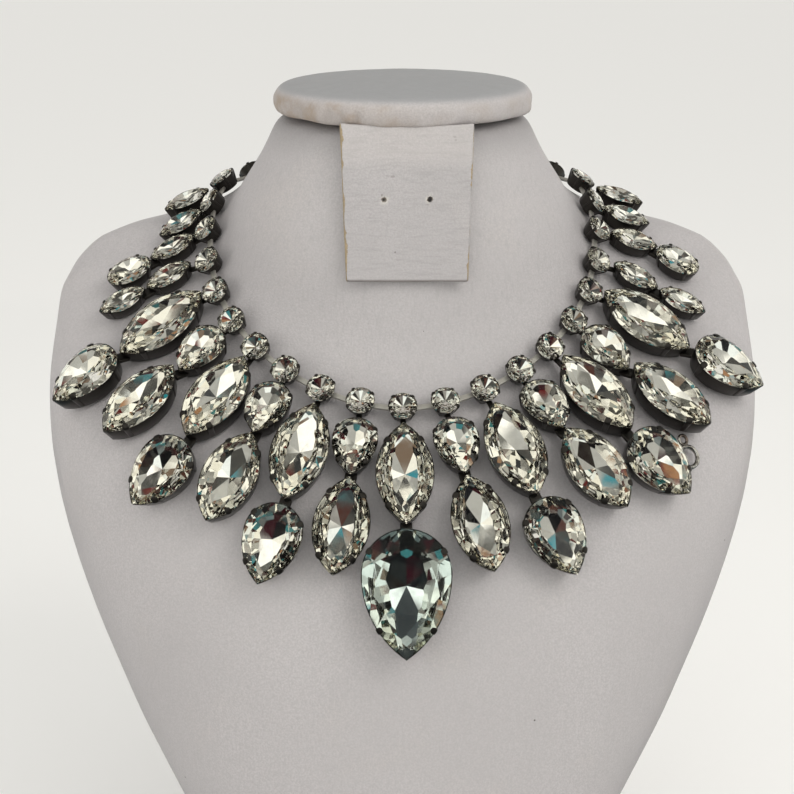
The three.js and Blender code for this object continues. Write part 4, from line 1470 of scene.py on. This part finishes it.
class NECKLACE_OT_stage(bpy.types.Operator):
    """Sets up the camera, floor, lights and the cards that the crystals mirror"""

    bl_idname = "necklace.stage"
    bl_label = "Stage"

    def execute(self, context):
        self.camera()
        self.floor()
        self.dome()
        self.lights()
        self.cards()
        scene = bpy.context.scene
        scene.view_settings.view_transform = "Standard"
        scene.cycles.max_bounces = 24
        scene.cycles.glossy_bounces = 16
        scene.cycles.transmission_bounces = 16
        return {"FINISHED"}

    def camera(self):
        form = sizes().stage
        front = rounds[len(rounds) // 2].place.translation
        forward = Vector((0, math.cos(form.elevation), -math.sin(form.elevation)))
        upward = Vector((0, math.sin(form.elevation), math.cos(form.elevation)))
        aim = front + Vector((-form.aim_aside, 0, 0)) + upward * form.aim_above
        camera = bpy.data.objects.new("camera", bpy.data.cameras.new("camera"))
        camera.data.lens = form.lens
        camera.location = aim - forward * form.distance
        camera.rotation_euler = forward.to_track_quat("-Z", "Y").to_euler()
        bpy.context.scene.collection.objects.link(camera)
        bpy.context.scene.camera = camera

    def floor(self):
        """A plain pale floor."""
        floor = start(bpy.ops.mesh.primitive_plane_add, "floor", size=12, location=(0, 0, 0))
        bpy.ops.mesh.select_all(action="SELECT")
        bpy.ops.mesh.subdivide(number_cuts=7)
        close_edit()
        finish = Shader("stage_paper", base_color=tuple(sizes().stage.floor), roughness=0.85)
        floor.data.materials.append(finish.material)

    def dome(self):
        world = bpy.data.worlds.new("dome")
        world.use_nodes = True
        background = world.node_tree.nodes["Background"]
        background.inputs["Color"].default_value = (1.0, 0.985, 0.95, 1)
        background.inputs["Strength"].default_value = sizes().stage.dome
        bpy.context.scene.world = world

    def lights(self):
        """Two soft lights that the crystals don't mirror."""
        form = sizes().stage
        chest = Vector((0, 0, 0.16))
        key = ("key", form.key, Vector((0.55, -0.45, 0.85)))
        fill = ("fill", form.fill, Vector((-0.75, -0.5, 0.3)))
        for name, power, place in (key, fill):
            data = bpy.data.lights.new(name, "AREA")
            data.energy = power
            data.size = form.light_size
            data.color = (1.0, 0.97, 0.92)
            light = bpy.data.objects.new(name, data)
            light.location = place
            light.rotation_euler = (chest - place).to_track_quat("-Z", "Y").to_euler()
            light.visible_glossy = False
            light.visible_transmission = False
            bpy.context.scene.collection.objects.link(light)

    def cards(self):
        """
        Square cards that only the crystals and metal see: the room that they mirror, patch by patch.
        Each has an azimuth and elevation seen from the necklace, in degrees, and two colours. All are
        equally far away, so the one that faces a crystal best is the one it mirrors.
        """
        black, dark = (0.006, 0.006, 0.007), (0.07, 0.069, 0.064)
        dim, mid = (0.19, 0.188, 0.17), (0.46, 0.46, 0.43)
        white, cream, cool = (1.25, 1.24, 1.15), (1.0, 0.98, 0.87), (0.98, 1.03, 1.0)
        brown, maroon = (0.2, 0.145, 0.105), (0.035, 0.006, 0.01)
        rows = [
            ("card_teal", 0, 0, (0.08, 0.035, 0.028), (0.05, 0.2, 0.22)),
            ("card_slate", -3, -9, (0.04, 0.055, 0.06), (0.13, 0.16, 0.16)),
            ("card_low_left", -42, 0, black, mid),
            ("card_low_right", 37, -4, black, (0.015, 0.015, 0.018)),
            ("card_wine", 17, 7, maroon, mid),
            ("card_side_left", -78, 14, cream, dark),
            ("card_side_right", 82, 20, white, mid),
            ("card_side_low", 62, -4, cool, mid),
            ("card_arm_left", -46, 13, black, dark),
            ("card_arm_right", 47, 14, black, (0.02, 0.015, 0.013)),
            ("card_belt", -4, 16, brown, cool),
            ("card_chest", 4, 27, cool, mid),
            ("card_glow_left", -38, 29, white, cream),
            ("card_glow_right", 47, 32, white, mid),
            ("card_veil_left", -27, 44, mid, dark),
            ("card_veil_right", 34, 47, white, dim),
            ("card_brow", -2, 46, white, mid),
            ("card_window_left", -66, 45, white, dim),
            ("card_window_right", 66, 46, white, dim),
            ("card_window_high", 95, 62, cool, dark),
            ("card_back_left", -126, 53, mid, dark),
            ("card_back", -168, 48, mid, dark),
            ("card_back_right", 126, 48, dim, mid),
            ("card_dusk", 152, 63, dark, mid),
            ("card_crown_front", 2, 57, white, cream),
            ("card_crown", -4, 69, (0.045, 0.047, 0.05), (0.07, 0.072, 0.075)),
            ("card_sky_left", -52, 76, white, dark),
            ("card_sky_right", 70, 76, dark, cream),
            ("card_sky_back", 175, 80, mid, dark),
        ]
        middle = Vector((0, -0.02, 0.17))
        for name, azimuth, elevation, *colours in rows:
            turn, rise = math.radians(azimuth), math.radians(elevation)
            level = Vector((math.sin(turn), -math.cos(turn), 0))
            away = level * math.cos(rise) + UP * math.sin(rise)
            self.card(name, middle + away * sizes().stage.room, -away, *colours)
        self.card("card_floor_left", Vector((-0.51, -0.66, 0.012)), UP, maroon, black)
        self.card("card_floor_right", Vector((0.49, -0.66, 0.012)), UP, black, black)
        self.card("card_floor_near", Vector((0, 0.27, 0.014)), UP, (0.1, 0.125, 0.13), (0.15, 0.18, 0.185))

    def card(self, name, location, towards, first, second):
        """One glowing card, mottled in two colours, with a few red, copper and teal patches on some."""
        turn = towards.to_track_quat("Z", "Y").to_euler()
        card = start(bpy.ops.mesh.primitive_plane_add, name, size=1, location=location, rotation=turn)
        close_edit()
        finish = Shader(name, base_color=(0, 0, 0), roughness=1, specular_ior_level=0, emission_strength=1)
        shift = (location.x * 7, location.y * 7, location.z * 7)
        mottle = finish.ramp(finish.noise(90, 2, shift=shift), 0.46, 0.53)
        light = finish.blend(mottle, first, second)
        if name.startswith(ACCENTED):
            hue = finish.noise(120, 1, shift=(shift[2], shift[0], 3))
            tint = finish.blend(finish.ramp(hue, 0.47, 0.49), (0.13, 0.012, 0.012), (0.38, 0.2, 0.1))
            tint = finish.blend(finish.ramp(hue, 0.54, 0.56), tint, (0.03, 0.26, 0.32))
            patches = finish.ramp(finish.noise(65, 2, shift=(5, shift[1], shift[0])), 0.6, 0.62)
            light = finish.blend(patches, light, tint)
        finish.set("Emission Color", light)
        card.data.materials.append(finish.material)
        card.visible_camera = False
        card.visible_diffuse = False
        card.visible_shadow = False


class NECKLACE_PT_parts(bpy.types.Panel):
    """Lists the pieces to build and their sizes"""

    bl_idname = "NECKLACE_PT_parts"
    bl_label = "Crystal Bib Necklace"
    bl_space_type = "VIEW_3D"
    bl_region_type = "UI"
    bl_category = "Necklace"

    def draw(self, context):
        for operator in OPERATORS:
            self.layout.operator(operator.bl_idname)
        for name in ("crystal", "setting", "bust", "stage"):
            box = self.layout.box()
            group = getattr(context.scene.necklace_sizes, name)
            for key in group.__annotations__:
                box.prop(group, key)


GROUPS = (CrystalSizes, SettingSizes, BustSizes, StageSizes, NecklaceSizes)
OPERATORS = (
    NECKLACE_OT_stage,
    NECKLACE_OT_bust_skin,
    NECKLACE_OT_bust_cap,
    NECKLACE_OT_earring_flap,
    NECKLACE_OT_crystals,
    NECKLACE_OT_settings,
    NECKLACE_OT_links,
    NECKLACE_OT_side_ring,
    NECKLACE_OT_clasp,
)
CLASSES = (*GROUPS, *OPERATORS, NECKLACE_PT_parts)


def register():
    for item in CLASSES:
        bpy.utils.register_class(item)
    bpy.types.Scene.necklace_sizes = bpy.props.PointerProperty(type=NecklaceSizes)


def unregister():
    del bpy.types.Scene.necklace_sizes
    for item in reversed(CLASSES):
        bpy.utils.unregister_class(item)


def main():
    register()
    bpy.ops.necklace.stage()
    bpy.ops.necklace.bust_skin()
    bpy.ops.necklace.bust_cap()
    bpy.ops.necklace.earring_flap()
    bpy.ops.necklace.crystals()
    bpy.ops.necklace.settings()
    bpy.ops.necklace.links()
    bpy.ops.necklace.side_ring()
    bpy.ops.necklace.clasp()


if __name__ == "__main__":
    main()
